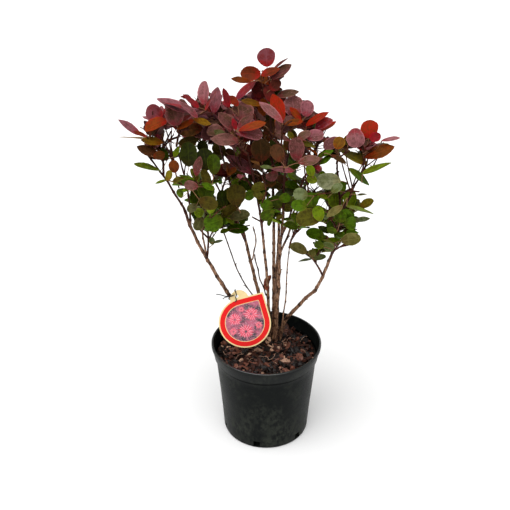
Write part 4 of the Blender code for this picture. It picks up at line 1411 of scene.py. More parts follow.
# Leaves that stand out in the photo: pixel places of the blade's base and tip, its width there and its
# tint. The ones deep in the crown come first, and each is hung from a twig near its base.
deepLeaves = {
    "deepLeftUpper": (207, 171, 203, 148, 19, "shadeGreen"),
    "deepLeftBand": (181, 147, 197, 141, 7, "olive"),
    "deepLeftFoot": (208, 187, 203, 169, 10, "deepOlive"),
    "deepLeftSmall": (197, 181, 192, 168, 7, "olive"),
    "deepLeftEdge": (157, 159, 147, 151, 8, "umber"),
    "deepLeftYellow": (174, 157, 179, 146, 6, "bright"),
    "deepBandLow": (178, 144, 199, 139, 9, "deepOlive"),
    "deepBandMiddle": (206, 153, 200, 141, 11, "shadeGreen"),
    "deepStarFoot": (222, 160, 215, 149, 12, "greyOlive"),
    "deepStarLow": (234, 160, 226, 149, 11, "umber"),
    "deepStarInner": (248, 164, 240, 153, 11, "wine"),
    "deepMiddleBack": (271, 142, 266, 129, 12, "bronze"),
    "deepMiddleGap": (289, 151, 286, 139, 9, "bronze"),
    "deepMiddleSeam": (271, 159, 270, 142, 10, "umber"),
    "deepShoulderLit": (293, 139, 288, 132, 6, "moss"),
    "deepStarLeft": (226, 152, 212, 146, 12, "deepOlive"),
    "deepStarUnder": (254, 153, 239, 146, 12, "wine"),
    "deepMiddle": (275, 171, 266, 155, 13, "deepGreen"),
    "deepMiddleLow": (263, 181, 248, 173, 13, "umber"),
    "deepMiddleRight": (285, 165, 277, 149, 10, "umber"),
    "deepMiddleOlive": (278, 152, 272, 139, 9, "shadeGreen"),
    "deepMiddleUpper": (266, 135, 272, 120, 12, "umber"),
    "deepShoulder": (297, 137, 288, 131, 8, "olive"),
    "deepFootRight": (310, 165, 298, 159, 8, "greyMauve"),
    "centreUpper": (253, 189, 239, 180, 12, "deepGreen"),
    "centreTeal": (281, 207, 271, 196, 12, "deepGreen"),
    "centreTwigLeaf": (281, 206, 292, 210, 8, "olive"),
    "centreOver": (289, 183, 277, 177, 9, "umber"),
    "centreUnder": (262, 199, 254, 191, 8, "olive"),
    "rightInner": (343, 193, 341, 180, 9, "green"),
    "rightTeal": (330, 233, 318, 226, 6, "greyGreen"),
    "rightUpperBright": (306, 190, 295, 188, 6, "bright"),
}
shownLeaves = {
    # the topmost spray
    "topMaroon": (263, 98, 256, 82, 15, "wine"),
    "topStemLeaf": (271, 102, 267, 86, 10, "wine"),
    "topOlive": (270, 84, 258, 76, 8, "orange"),
    "topBrown": (270, 90, 280, 80, 11, "wine"),
    "topGrey": (277, 96, 299, 91, 9, "greyMauve"),
    "topViolet": (271, 79, 291, 64, 9, "plum"),
    "topSpear": (273, 70, 288, 57, 4, "wine"),
    "topScarlet": (261, 75, 280, 68, 9, "brick"),
    "topRound": (267, 67, 266, 48, 19, "garnet"),
    "topLeftRound": (261, 74, 240, 73, 15, "brick"),
    "topOrange": (251, 82, 231, 78, 5, "rust"),
    "topLong": (236, 99, 256, 80, 9, "berry"),
    "topRedLow": (238, 106, 229, 96, 8, "brick"),
    "topUpright": (229, 108, 224, 88, 7, "crimson"),
    "topYellow": (261, 105, 241, 100, 7, "ochre"),
    # right of the top
    "upperGrey": (296, 124, 284, 118, 10, "greyMauve"),
    "upperRound": (295, 117, 292, 96, 21, "rose"),
    "upperSmallRound": (306, 117, 308, 100, 14, "mauve"),
    "upperAmber": (301, 120, 290, 107, 7, "scarlet"),
    "upperOrange": (303, 121, 284, 124, 7, "orange"),
    "upperScarlet": (283, 121, 273, 94, 12, "scarlet"),
    "upperPale": (283, 123, 260, 101, 7, "rose"),
    "shoulderPink": (316, 129, 331, 116, 11, "berry"),
    "shoulderScarlet": (306, 126, 328, 111, 7, "scarlet"),
    "shoulderTip": (321, 131, 336, 121, 5, "scarlet"),
    "shoulderMauve": (305, 137, 324, 134, 12, "mauve"),
    "shoulderBrown": (297, 140, 310, 131, 8, "greyMauve"),
    "shoulderOlive": (301, 142, 316, 147, 6, "moss"),
    # the crest and the left side
    "crestGrey": (214, 113, 217, 87, 12, "mauve"),
    "crestMauve": (204, 105, 204, 81, 12, "rose"),
    "crestStripe": (205, 111, 216, 90, 4, "garnet"),
    "crestCrimson": (199, 108, 183, 94, 7, "crimson"),
    "leftGrey": (186, 108, 163, 103, 11, "mauve"),
    "leftLong": (190, 112, 157, 98, 11, "mauve"),
    "leftStripe": (187, 109, 164, 102, 4, "crimson"),
    "leftPink": (198, 118, 180, 101, 7, "mauve"),
    "leftRound": (162, 119, 147, 107, 17, "garnet"),
    "leftInnerRound": (177, 126, 172, 107, 19, "plum"),
    "leftScarlet": (167, 121, 143, 128, 13, "scarlet"),
    "leftTip": (140, 135, 119, 119, 9, "mauve"),
    "leftTipFoot": (147, 137, 134, 131, 4, "brick"),
    "leftLongOchre": (161, 141, 118, 135, 5, "ochre"),
    "leftOlive": (163, 143, 141, 139, 8, "ochre"),
    "leftDark": (167, 161, 162, 148, 8, "deepGreen"),
    "leftBrown": (158, 156, 137, 146, 10, "umber"),
    "leftOrange": (153, 157, 165, 154, 9, "rust"),
    "leftGreenSlim": (161, 171, 134, 163, 4, "bright"),
    "leftAmberRound": (175, 173, 173, 160, 11, "rust"),
    "leftSprout": (168, 181, 170, 170, 7, "moss"),
    "leftSproutSlim": (167, 180, 155, 183, 3, "bright"),
    "starOval": (203, 128, 176, 131, 13, "bronze"),
    "starOchre": (193, 119, 211, 124, 6, "ochre"),
    "starOrange": (194, 120, 176, 129, 7, "orange"),
    # the middle
    "middleBrown": (262, 162, 260, 138, 21, "umber"),
    "middleInner": (281, 162, 274, 144, 14, "umber"),
    "middleGrey": (297, 161, 296, 137, 16, "plum"),
    "middleRound": (243, 122, 243, 101, 23, "plum"),
    "middleRose": (234, 129, 219, 112, 11, "plum"),
    "middleUpright": (238, 128, 253, 115, 9, "plum"),
    "middleOval": (239, 131, 263, 135, 13, "mauve"),
    "middleDrop": (291, 141, 275, 134, 5, "greyMauve"),
    "middleScarlet": (238, 131, 266, 122, 6, "scarlet"),
    "middleOlive": (228, 139, 214, 130, 8, "greyOlive"),
    "middleCupped": (239, 141, 211, 138, 12, "greyMauve"),
    "middleHeart": (236, 130, 233, 118, 5, "crimson"),
    "middleLong": (254, 174, 227, 155, 11, "mauve"),
    "middlePink": (298, 163, 320, 158, 9, "greyMauve"),
    "middlePale": (294, 171, 270, 168, 8, "rose"),
    "middleDarkGreen": (189, 167, 188, 142, 18, "shadeGreen"),
    "middleGreen": (214, 175, 213, 154, 13, "deepGreen"),
    "middleStanding": (196, 176, 200, 156, 8, "plum"),
    # the right-hand group
    "rightPink": (342, 140, 323, 147, 11, "mauve"),
    "rightAmber": (336, 149, 342, 137, 12, "ochre"),
    "rightMauve": (354, 128, 357, 148, 19, "rose"),
    "rightRound": (369, 139, 370, 119, 18, "scarlet"),
    "rightCrimson": (369, 138, 381, 136, 10, "crimson"),
    "rightSlim": (381, 141, 400, 137, 4, "rose"),
    "rightBronze": (365, 158, 394, 146, 11, "orange"),
    "rightOchre": (367, 164, 341, 150, 11, "moss"),
    "rightLance": (362, 174, 391, 162, 8, "bright"),
    "rightGreenLow": (349, 168, 370, 185, 8, "green"),
    "rightTwigLeafUpper": (318, 157, 333, 150, 4, "green"),
    "rightTwigLeafLower": (319, 164, 331, 157, 6, "green"),
    "rightTwigLeafBrown": (331, 155, 347, 163, 5, "umber"),
    "rightGreySmall": (317, 182, 307, 177, 9, "bright"),
    "rightSprout": (313, 176, 308, 165, 9, "bright"),
    "rightGreyBig": (341, 181, 316, 181, 17, "paleSage"),
    "rightUnderGrey": (331, 192, 342, 184, 9, "greyGreen"),
    "rightDarkRound": (311, 208, 312, 192, 15, "green"),
    "rightLowGreen": (307, 206, 291, 205, 12, "green"),
    "rightGreyRound": (308, 196, 293, 193, 13, "greyGreen"),
    "rightUpperLeaf": (299, 188, 285, 182, 8, "green"),
    "rightLeaflet": (328, 198, 316, 193, 5, "bright"),
    "rightGreenRound": (337, 209, 334, 191, 16, "bright"),
    "rightOliveRound": (350, 208, 350, 189, 14, "bright"),
    "rightSideLeaflet": (357, 195, 367, 194, 3, "greyOlive"),
    "rightRust": (360, 208, 373, 199, 9, "moss"),
    "rightSpear": (346, 206, 374, 213, 5, "bright"),
    "rightSlimLow": (353, 221, 370, 218, 5, "greyGreen"),
    "rightBrownLow": (343, 206, 326, 216, 8, "paleOlive"),
    "rightBigOlive": (322, 216, 295, 219, 19, "olive"),
    "rightBigGreen": (321, 221, 316, 206, 12, "bright"),
    "clusterLeft": (341, 226, 326, 226, 13, "green"),
    "clusterTop": (340, 223, 341, 211, 12, "green"),
    "clusterRight": (344, 224, 357, 223, 14, "green"),
    "clusterLow": (337, 232, 327, 229, 7, "green"),
    "rightOval": (341, 241, 361, 238, 13, "paleOlive"),
    "rightDarkOval": (325, 238, 306, 231, 12, "green"),
    "rightFootLeaf": (324, 247, 314, 243, 8, "green"),
    "rightFootSlim": (328, 239, 342, 241, 5, "bright"),
    "rightFootGrey": (322, 244, 334, 249, 9, "greyGreen"),
    "sprigTop": (307, 253, 290, 244, 11, "paleOlive"),
    "sprigSmall": (312, 258, 312, 249, 8, "paleOlive"),
    "sprigRight": (314, 259, 326, 256, 7, "greyGreen"),
    "sprigSlim": (312, 259, 298, 261, 3, "greyGreen"),
    # the middle and left below
    "centreGreen": (273, 207, 260, 203, 11, "green"),
    "centreLow": (274, 211, 261, 219, 12, "green"),
    "centreRight": (279, 199, 291, 197, 10, "green"),
    "centreLeft": (255, 191, 245, 199, 10, "green"),
    "centreOlive": (267, 186, 251, 188, 10, "olive"),
    "centreLeaf": (283, 224, 298, 228, 8, "green"),
    "centreSlim": (283, 220, 292, 218, 3, "green"),
    "centrePoint": (272, 217, 268, 226, 5, "green"),
    "middleSlim": (273, 168, 260, 166, 3, "greyGreen"),
    "lowDark": (224, 208, 221, 190, 12, "deepGreen"),
    "lowBrown": (238, 206, 222, 214, 9, "deepOlive"),
    "lowBigOlive": (236, 206, 236, 184, 20, "deepOlive"),
    "lowGreyOval": (230, 219, 250, 213, 11, "greyOlive"),
    "lowOliveOval": (226, 229, 249, 228, 10, "green"),
    "lowGreen": (223, 219, 204, 226, 18, "green"),
    "lowEdgeOval": (202, 216, 196, 231, 11, "greyOlive"),
    "lowInner": (204, 211, 194, 214, 10, "bright"),
    "lowGreenTop": (204, 200, 208, 184, 17, "deepGreen"),
    "lowOlive": (199, 200, 218, 206, 14, "deepOlive"),
    "lowLit": (215, 190, 202, 183, 6, "green"),
    "lowSmallLit": (229, 230, 220, 232, 5, "bright"),
    "lowMauve": (198, 187, 184, 184, 10, "greyMauve"),
    "lowUnderMauve": (195, 207, 194, 188, 11, "green"),
    "lowSmall": (182, 198, 178, 189, 7, "green"),
    "lowEdge": (197, 205, 187, 211, 9, "greyOlive"),
    "twigPairUpper": (213, 245, 211, 237, 6, "greyGreen"),
    "twigPairLower": (213, 243, 223, 240, 3, "greyGreen"),
}

# The crown's outline in the photo, clockwise from the left, and the places inside it where sky shows:
# the rule grows no leaf beyond the one or over the other
crownOutline = np.array((
    (142, 126), (142, 110), (149, 104), (160, 101), (170, 95), (185, 93), (196, 95), (201, 86), (212, 86),
    (222, 90), (228, 93), (236, 96), (243, 88), (240, 80), (239, 71), (247, 65), (256, 66), (261, 70),
    (270, 68), (284, 66), (290, 66), (288, 74), (281, 80), (282, 88), (298, 91), (300, 98), (312, 101),
    (315, 110), (327, 112), (332, 121), (324, 130), (324, 138), (336, 136), (344, 139), (346, 130),
    (354, 127), (362, 128), (370, 120), (379, 127), (382, 138), (392, 144), (388, 151), (370, 157),
    (366, 166), (370, 175), (360, 182), (358, 190), (370, 198), (362, 206), (360, 212), (366, 217),
    (357, 224), (361, 238), (352, 245), (340, 243), (334, 252), (326, 258), (312, 261), (300, 258),
    (291, 247), (298, 243), (309, 248), (314, 245), (306, 236), (305, 228), (296, 229), (284, 227),
    (275, 222), (266, 223), (261, 212), (257, 200), (248, 200), (240, 207), (236, 211), (248, 212),
    (249, 218), (246, 226), (248, 231), (236, 233), (216, 233), (204, 231), (196, 230), (193, 220),
    (190, 213), (184, 204), (176, 197), (172, 188), (165, 180), (160, 170), (152, 160), (141, 154),
    (137, 146), (144, 143)), float)
skyGaps = np.array((
    (184, 171, 4), (165, 164, 5), (210, 175, 4), (219, 160, 4), (220, 189, 4), (192, 173, 3),
    (171, 132, 3), (179, 140, 3), (226, 180, 3), (303, 172, 6), (318, 147, 5), (329, 168, 6),
    (313, 186, 4), (345, 176, 4), (341, 164, 4), (351, 168, 4), (362, 168, 4), (352, 186, 3),
    (320, 187, 4), (322, 203, 3), (331, 232, 3), (287, 213, 4), (273, 192, 3), (300, 133, 3),
    (168, 138, 4), (173, 145, 3)), float)


# Shoot tips that carry several shown leaves: pixel place, and how far forward or back they stand
sprayTips = {
    "middleStar": ((239, 133), -0.136),
    "middleLow": ((286, 168), -0.122),
    "crestStar": ((207, 111), -0.004),
    "leftStar": ((190, 112), -0.030),
    "leftTipStar": ((146, 137), -0.020),
    "topStar": ((264, 76), 0.016),
    "upperStar": ((292, 121), -0.040),
    "shoulderStar": ((306, 133), -0.020),
    "rightStar": ((366, 150), -0.006),
    "rightGreenStar": ((314, 196), -0.086),
    "rightLowStar": ((330, 218), -0.060),
    "leftLowStar": ((226, 206), -0.076),
}


# Bare shoots seen between the leaves: pixel places from root to tip, and how far back both ends stand
shownTwigs = {
    "rightHigh": (((351, 193), (344, 171), (338, 147)), (-0.030, 0.002)),
    "rightMiddle": (((353, 191), (349, 172), (346, 156)), (-0.030, -0.010)),
    "rightOuter": (((350, 196), (356, 177), (366, 158)), (-0.034, -0.004)),
    "rightInner": (((309, 192), (305, 174), (304, 161)), (-0.060, -0.040)),
    "rightFork": (((311, 176), (315, 162), (318, 150)), (-0.040, -0.020)),
    "leftInner": (((179, 188), (173, 161), (167, 132)), (0.000, -0.010)),
    "leftOuter": (((176, 174), (169, 152), (161, 136)), (-0.004, -0.012)),
    "leftShort": (((184, 184), (185, 168), (188, 158)), (0.004, 0.010)),
    "leftTip": (((163, 163), (156, 147), (147, 137)), (-0.010, -0.018)),
    "leftUpper": (((174, 160), (171, 144), (172, 126)), (-0.002, -0.012)),
    "centreFront": (((284, 172), (283, 154), (281, 140)), (-0.100, -0.104)),
    "centreLow": (((262, 203), (266, 190), (262, 176)), (-0.050, -0.060)),
}


def photoPixels(points):
    # pixel places of many points, and their depths
    ahead, right, top = (np.array(axis) for axis in viewAxes())
    seen = np.asarray(points) - np.array(view["place"])
    depth = seen @ ahead
    middle = view["pixels"] / 2
    scale = focalPixels() / depth
    return middle + seen @ right * scale, middle - seen @ top * scale, depth


def standingPoint(place, y):
    # the point seen at a pixel place that stands at a given y
    ray = photoPoint(*place, 1) - view["place"]
    return view["place"] + ray * ((y - view["place"].y) / ray.y)


def staysOpen(points):
    # true where nothing would stand beyond the outline or over the sky
    x, y, _ = photoPixels(points)
    x, y = x[:, None], y[:, None]
    ax, ay = crownOutline.T
    bx, by = np.roll(crownOutline, -1, 0).T
    crosses = ((ay > y) != (by > y)) & (x < (bx - ax) * (y - ay) / (by - ay + 1e-9) + ax)
    if (crosses.sum(1) % 2 == 0).any():
        return False
    gapX, gapY, reach = skyGaps.T
    return not (np.hypot(x - gapX, y - gapY) < reach).any()


canopyRules = {"near": 0.065, "hiddenOval": 0.88, "hiddenDepth": 0.0015, "overlapOval": 0.8, "far": 9.0}


class Canopy:
    # the leaves so far, so that a new one keeps clear of them and doesn't hide those seen in the photo

    def __init__(self):
        self.blades = []
        self.ovals = np.empty((0, 6))
        self.slopes = np.empty((0, 3))

    def add(self, tree, middle):
        self.blades.append((tree, middle))

    def show(self, base, tip, wide, corners):
        # keeps the leaf's oval in the picture, and the slope of its depth over the picture
        (baseX, baseY), (tipX, tipY) = base, tip
        long = math.hypot(tipX - baseX, tipY - baseY)
        way = ((tipX - baseX) / long, (tipY - baseY) / long)
        oval = ((baseX + tipX) / 2, (baseY + tipY) / 2, long / 2, wide / 2, *way)
        x, y, depth = photoPixels(corners[:bladeTopCount])
        slope = np.linalg.lstsq(np.stack([x, y, np.ones(len(x))], 1), depth, rcond=None)[0]
        self.ovals = np.vstack([self.ovals, oval])
        self.slopes = np.vstack([self.slopes, slope])

    def over(self, x, y, size):
        # which pixel places lie on which ovals, and how deep each oval's leaf lies there
        middleX, middleY, halfLong, halfWide, wayX, wayY = self.ovals.T
        dx, dy = x[:, None] - middleX, y[:, None] - middleY
        along = (dx * wayX + dy * wayY) / halfLong
        across = (dy * wayX - dx * wayY) / halfWide
        slopeX, slopeY, level = self.slopes.T
        return along ** 2 + across ** 2 < size, x[:, None] * slopeX + y[:, None] * slopeY + level

    def clear(self, tree, middle):
        near = (other for other, place in self.blades if (place - middle).length < canopyRules["near"])
        return not any(other.overlap(tree) for other in near)

    def hides(self, points):
        x, y, depth = photoPixels(points)
        on, shownDepth = self.over(x, y, canopyRules["hiddenOval"])
        return bool((on & (depth[:, None] < shownDepth + canopyRules["hiddenDepth"])).any())

    def frontOver(self, base, tip, wide):
        # the depth of the nearest leaf so far that an oval would overlap in the picture
        turn = np.linspace(0, math.tau, 13)[:-1]
        way = np.subtract(tip, base) / 2
        side = np.array([-way[1], way[0]]) / np.linalg.norm(way) * wide / 2
        ring = np.cos(turn)[:, None] * way + np.sin(turn)[:, None] * side
        x, y = (np.add(base, tip) / 2 + np.vstack([ring * 0.8, ring * 0.4, [(0, 0)]])).T
        on, depth = self.over(x, y, canopyRules["overlapOval"])
        return float(np.where(on, depth, canopyRules["far"]).min()) if on.size else canopyRules["far"]


def bladeTree(corners):
    return BVHTree.FromPolygons(corners[:bladeTopCount].tolist(), bladeTopFaces)


def addLeaf(heap, root, corners, way, normal, length, tint, rng):
    heap.add(corners, bladeFaces, tintNames.index(tint), bladeMarks, rng.random())
    base = Vector(corners[len(leaf["rows"]) * len(leaf["columns"])])
    inward, under = leaf["stalkUnder"]
    stalkEnd = base + way * length * inward - normal * under
    bend = (root + base) / 2 + (root - base).length * leaf["stalkBow"] * (normal + up * 0.3)
    points = [root, root.lerp(bend, 0.55), bend.lerp(stalkEnd, 0.5), stalkEnd]
    radii = [leaf["stalkRadius"] * share for share in leaf["stalkTaper"]]
    heap.add(*tubeForm(points, radii, 4), len(tintNames))


def shownPoses(base, tip, wide, depth):
    # ways that a blade may lie so that it is seen with this length and width, its face to the camera
    (baseX, baseY), (tipX, tipY) = base, tip
    root = photoPoint(baseX, baseY, depth)
    flat = photoPoint(tipX, tipY, depth) - root
    toward = (view["place"] - root).normalized()
    way = (flat - toward * flat.dot(toward)).normalized()
    aside = way.cross(toward)
    length = flat.length
    seenWidth = wide * depth / focalPixels()
    share = min(1.0, max(0.66, seenWidth / length))
    if seenWidth > length:
        length = seenWidth
        tilt = math.acos(flat.length / length)
        poses = [(way * math.cos(tilt) + toward * math.sin(tilt) * s, aside) for s in (1, -1)]
    else:
        tilt = math.acos(min(1.0, seenWidth / (length * share)))
        poses = [(way, aside * math.cos(tilt) + toward * math.sin(tilt) * s) for s in (1, -1)]
    found = [(bladeWay, side.cross(bladeWay)) for bladeWay, side in poses]
    found.sort(key=lambda pose: -pose[1].z)
    return root, length, length * share, found


# How a leaf seen in the photo is hung: its twig is looked for some pixels behind its base, and it is
# tried from just before the twig and the leaves there, step by step towards the camera
hanging = {
    "behindBase": 6,
    "deepPull": -25,
    "shownPull": 60,
    "mostForward": 0.045,
    "beforeTwig": 0.004,
    "beforeLeaves": 0.006,
    "step": 0.0045,
    "steps": 8,
    "slim": 0.5,
    "longestStalk": 0.028,
    "stalkOnShoot": 0.016,
}


def freePlace(kind, base, tip, wide, start, canopy, woods, rng):
    # the first place on the way to the camera where the blade is free of wood and leaves
    found = None
    for attempt in range(2 * hanging["steps"]):
        depth = start - hanging["step"] * (attempt % hanging["steps"])
        root, length, width, poses = shownPoses(base, tip, wide, depth)
        way, normal = poses[attempt // hanging["steps"]]
        corners = standBlade(bladeCorners(kind, length, width, rng), root, way, normal)
        tree = bladeTree(corners)
        middle = root + way * length / 2
        free = canopy.clear(tree, middle) and not woods.overlap(tree)
        if found is None or free:
            found = (corners, tree, middle, root, length, way, normal)
        if free:
            break
    return found


def hangShown(row, pull, spots, spotNames, canopy, woods, heaps, extras, rng):
    baseX, baseY, tipX, tipY, wide, tint = row
    base, tip = (baseX, baseY), (tipX, tipY)
    long = math.hypot(tipX - baseX, tipY - baseY)
    backX = baseX - (tipX - baseX) / long * hanging["behindBase"]
    backY = baseY - (tipY - baseY) / long * hanging["behindBase"]
    x, y, depths = photoPixels(spots)
    nearest = int(np.argmin(np.hypot(x - backX, y - backY) + spots[:, 1] * pull))
    spot, depth = Vector(spots[nearest]), depths[nearest]
    kind = "edgeOn" if wide / long < hanging["slim"] else rng.choice(("faceOn", "faceOn", "oval"))
    nearFront = canopy.frontOver(base, tip, wide) - hanging["beforeLeaves"]
    start = max(min(depth - hanging["beforeTwig"], nearFront), depth - hanging["mostForward"])
    found = freePlace(kind, base, tip, wide, start, canopy, woods, rng)
    corners, tree, middle, root, length, way, normal = found
    canopy.add(tree, middle)
    canopy.show(base, tip, wide, corners)
    gap = (root - spot).length
    stalkRoot = spot
    if gap > hanging["longestStalk"]:
        stalkRoot = spot.lerp(root, 1 - hanging["stalkOnShoot"] / gap)
        bow = spot.lerp(stalkRoot, 0.5) + up * gap * growth["shootBow"]
        extras.append(Limb("shoot", [spot, bow, stalkRoot], growth["shootRadii"]))
    addLeaf(heaps[spotNames[nearest]], stalkRoot, corners, way, normal, length, tint, rng)
    return gap


def dealTint(mass, step, rng):
    deal = tintDeals[masses[mass][6] + ("High" if step > growth["lowTints"] else "Low")]
    return rng.choices(list(deal), list(deal.values()))[0]


def growLeaves(mass, heap, leader, twigs, shoots, seeds, canopy, woods, rng):
    # leaves by the rule, each tried at turned and smaller places until it is free and hides nothing
    count, size = masses[mass][4:6]
    turn = anyTurn(rng)
    firstLean, lastLean = leaf["leans"]
    spread, grown = leaf["leanSpread"], 0
    for twig, place, step in leafSites(leader, twigs, shoots, round(count * growth["moreLeaves"])):
        turn += goldenTurn
        tint = dealTint(mass, step, rng)
        kind = rng.choices(list(leafKinds), leaf["shares"])[0]
        for attempt in range(growth["leafTries"]):
            root, along, _ = twig.at(min(0.995, max(0.05, place + eitherWay(rng, 0.05))))
            lean = math.radians(firstLean + (lastLean - firstLean) * step + eitherWay(rng, spread))
            stalkWay, way, normal = leafWays(along, turn + attempt * leaf["turnOn"], lean, rng)
            scale = min(1.0, size) * rng.uniform(*leaf["sizes"]) * (1 - leaf["shrink"] * attempt)
            length = leaf["length"] * scale
            width = length * leaf["width"] * leafKinds[kind][0] * rng.uniform(*leaf["widths"])
            base = root + stalkWay * leaf["stalk"] * scale * rng.uniform(*leaf["stalks"])
            middle, tip = base + way * length / 2, base + way * length
            if not insideCell([base, middle, tip], mass, seeds, growth["cellSlack"]):
                continue
            corners = standBlade(bladeCorners(kind, length, width, rng), base, way, normal)
            blade = corners[:bladeTopCount]
            if not staysOpen(blade) or canopy.hides(blade):
                continue
            tree = bladeTree(corners)
            if woods.overlap(tree) or not canopy.clear(tree, middle):
                continue
            canopy.add(tree, middle)
            addLeaf(heap, root, corners, way, normal, length, tint, rng)
            twig.bearing = True
            grown += 1
            break
    return grown


def solidWood(limbs):
    heap = Heap()
    for limb in limbs:
        heap.add(*tubeForm(limb.points, [r + growth["clearance"] * 0.6 for r in limb.radii], 6))
    return BVHTree.FromPolygons(heap.corners, heap.faces)


def addShoots(spots, spotNames):
    # bare shoots seen in the photo, and shoots out to the sprays, whose tips carry leaves too
    shoots = []
    for places, (rootStands, tipStands) in shownTwigs.values():
        stands = np.linspace(rootStands, tipStands, len(places))
        line = [standingPoint(place, stand) for place, stand in zip(places, stands)]
        shoots.append(Limb("bare shoot", line, growth["bareRadii"]))
    for place, standing in sprayTips.values():
        tip = standingPoint(place, standing)
        nearest = int(np.argmin(np.linalg.norm(np.array(spots) - np.array(tip), axis=1)))
        root = Vector(spots[nearest])
        bow = root.lerp(tip, 0.55) + up * (tip - root).length * growth["shootBow"]
        shoots.append(Limb("spray", [root, bow, tip], growth["shootRadii"]))
        spots.append(tip[:])
        spotNames.append(spotNames[nearest])
    return shoots


def makeFoliage(limbs):
    leaders, twigs, shoots, seeds, rngs = growWood(limbs)
    branches = [twig for name in masses for twig in [leaders[name]] + twigs[name]]
    woods = solidWood([*limbs.values(), *branches])
    heaps = {name: Heap() for name in masses}
    canopy = Canopy()
    spots, spotNames = [], []
    for name in masses:
        for twig in [leaders[name]] + twigs[name] + shoots[name]:
            spots += [twig.at(place)[0][:] for place in growth["spots"]]
            spotNames += [name] * len(growth["spots"])
    extras = addShoots(spots, spotNames)
    places, rng, gaps = np.array(spots), random.Random(77), []
    for rows, pull in ((deepLeaves, hanging["deepPull"]), (shownLeaves, hanging["shownPull"])):
        for row in rows.values():
            gaps.append(hangShown(row, pull, places, spotNames, canopy, woods, heaps, extras, rng))
    print("%d leaves placed by sight, stalks up to %.0f mm" % (len(gaps), max(gaps) * 1000))
    grown = 0
    for name, heap in heaps.items():
        own = (leaders[name], twigs[name], shoots[name])
        grown += growLeaves(name, heap, *own, seeds, canopy, woods, rngs[name])
    print("%d leaves grown by rule" % grown)
    finishes = [leafFinish(name, tint) for name, tint in tints.items()]
    finishes.append(mottledFinish("leafStalk", stalkLook))
    for name, heap in heaps.items():
        settle(heap.make(pieceName(name, "Leaves"), finishes, 60), "leaf_" + masses[name][6], name)
    makeTwigs(leaders, twigs, shoots, extras, canopy)


def makeTwigs(leaders, twigs, shoots, extras, canopy):
    rng = random.Random(900)
    heap = Heap()
    allTwigs = list(extras)
    for name, leader in leaders.items():
        # a bare shoot is left out before a leaf seen in the photo, and in open sky
        allTwigs += [leader] + twigs[name]
        for shoot in shoots[name]:
            line = [shoot.at(place)[0] for place in (0.2, 0.5, 0.8, 1.0)]
            if shoot.bearing or (staysOpen(line[2:]) and not canopy.hides(line)):
                allTwigs.append(shoot)
    steps = growth["lineSteps"]
    for twig in allTwigs:
        points, radii = list(twig.points), list(twig.radii)
        if twig.parentPoint:
            points.insert(0, twig.parentPoint)
            radii.insert(0, radii[0])
        line = smoothLine(points, steps)
        sizes = np.interp(np.arange(len(line)) / steps, range(len(radii)), radii)
        swellings = [1 + growth["ringSwelling"] * (i % 3 == 1) for i in range(len(line))]
        sizes = [size * swelling * rng.uniform(0.94, 1.05) for size, swelling in zip(sizes, swellings)]
        heap.add(*tubeForm(line, sizes, 7))
    settle(heap.make("youngTwigs", [mottledFinish("youngTwig", twigLook)], 60), "stem_bark")
    print("%d twigs drawn" % len(allTwigs))


# Label: a drop-shaped card with a domed tab, printed with a plain blossom pattern, and its wire

label = {
    "middle": Vector((-0.043, -0.022, 0.2695)),
    "turn": math.radians(16),
    "lean": math.radians(16),
    "radius": 0.052,
    "thickness": 0.0010,
    "corner": 0.0015,
    "printCorner": 0.002,
    "tabMiddle": (0.003, 0.0505),
    "tabRadius": 0.0185,
    "tabArc": (8, 172, 16),
    "holeMiddle": (0.0, 0.0575),
    "holeRadius": 0.0030,
    "rim": 0.0026,
    "band": 0.0098,
    "line": 0.0012,
    "ink": 0.00012,
    "arcSteps": 40,
    "strips": 6,
    "stripWidth": 0.008,
    "bow": 0.0022,
    "tabBow": (0.045, 0.4),
    "roughness": 0.38,
    "coat": 0.05,
    "grain": (260, 4, 0.6),
    "worn": 0.86,
    "colours": {
        "labelCream": (0.93, 0.72, 0.36),
        "labelRed": (0.80, 0.008, 0.008),
        "labelPicture": (0.12, 0.085, 0.100),
        "labelPink": (0.83, 0.060, 0.120),
        "labelRose": (0.90, 0.330, 0.400),
    },
    "picture": {
        "dark": (0.040, 0.045, 0.055),
        "mist": (0.50, 0.12, 0.19),
        "mistPattern": (62, 4, 0.6),
        "mistStep": (0.40, 0.60),
        "specks": (0.66, 0.36, 0.43),
        "speckPattern": (380, 3, 0.7),
        "speckStep": (0.48, 0.64),
        "speckShare": 0.5,
    },
    "petalRings": ((1.0, 34), (0.76, 27), (0.50, 18)),
    "petalWidth": 0.070,
    "petalInk": 0.00008,
}
blossoms = (
    ((0.0175, 0.0150), 0.0155),
    ((-0.0175, 0.0120), 0.0135),
    ((-0.0030, -0.0175), 0.0165),
    ((0.0255, -0.0110), 0.0085),
    ((-0.0270, -0.0110), 0.0085),
    ((0.0010, 0.0290), 0.0065),
)
tie = {
    "place": 0.44,
    "turn": (70, 380),
    "steps": 18,
    "pitch": 0.0026,
    "radius": 0.0009,
    "gap": 0.0003,
    "knotPlace": 0.55,
    "knotTurns": 2.5,
    "knotSteps": 24,
    "knotLength": 0.004,
    "knotRadius": 0.0011,
    "knotWire": 0.9,
    "tails": (
        ((-0.003, -0.012, 0.003), (-0.014, -0.018, 0.005), (-0.025, -0.016, 0.007),
         (-0.034, -0.012, 0.006)),
        ((-0.002, -0.013, 0.000), (-0.010, -0.019, 0.001), (-0.018, -0.017, -0.002),
         (-0.023, -0.012, -0.009)),
        ((0.002, -0.012, -0.001), (0.004, -0.015, -0.007), (0.001, -0.013, -0.013)),
    ),
    "look": {
        "low": (0.008, 0.008, 0.009),
        "high": (0.030, 0.030, 0.032),
        "shine": (0.35, 0.2),
        "grain": (500, 2),
    },
}


def arcPoints(middle, radius, first, last, steps):
    turns = [math.radians(first + (last - first) * i / steps) for i in range(steps + 1)]
    return [(middle[0] + radius * math.cos(t), middle[1] + radius * math.sin(t)) for t in turns]


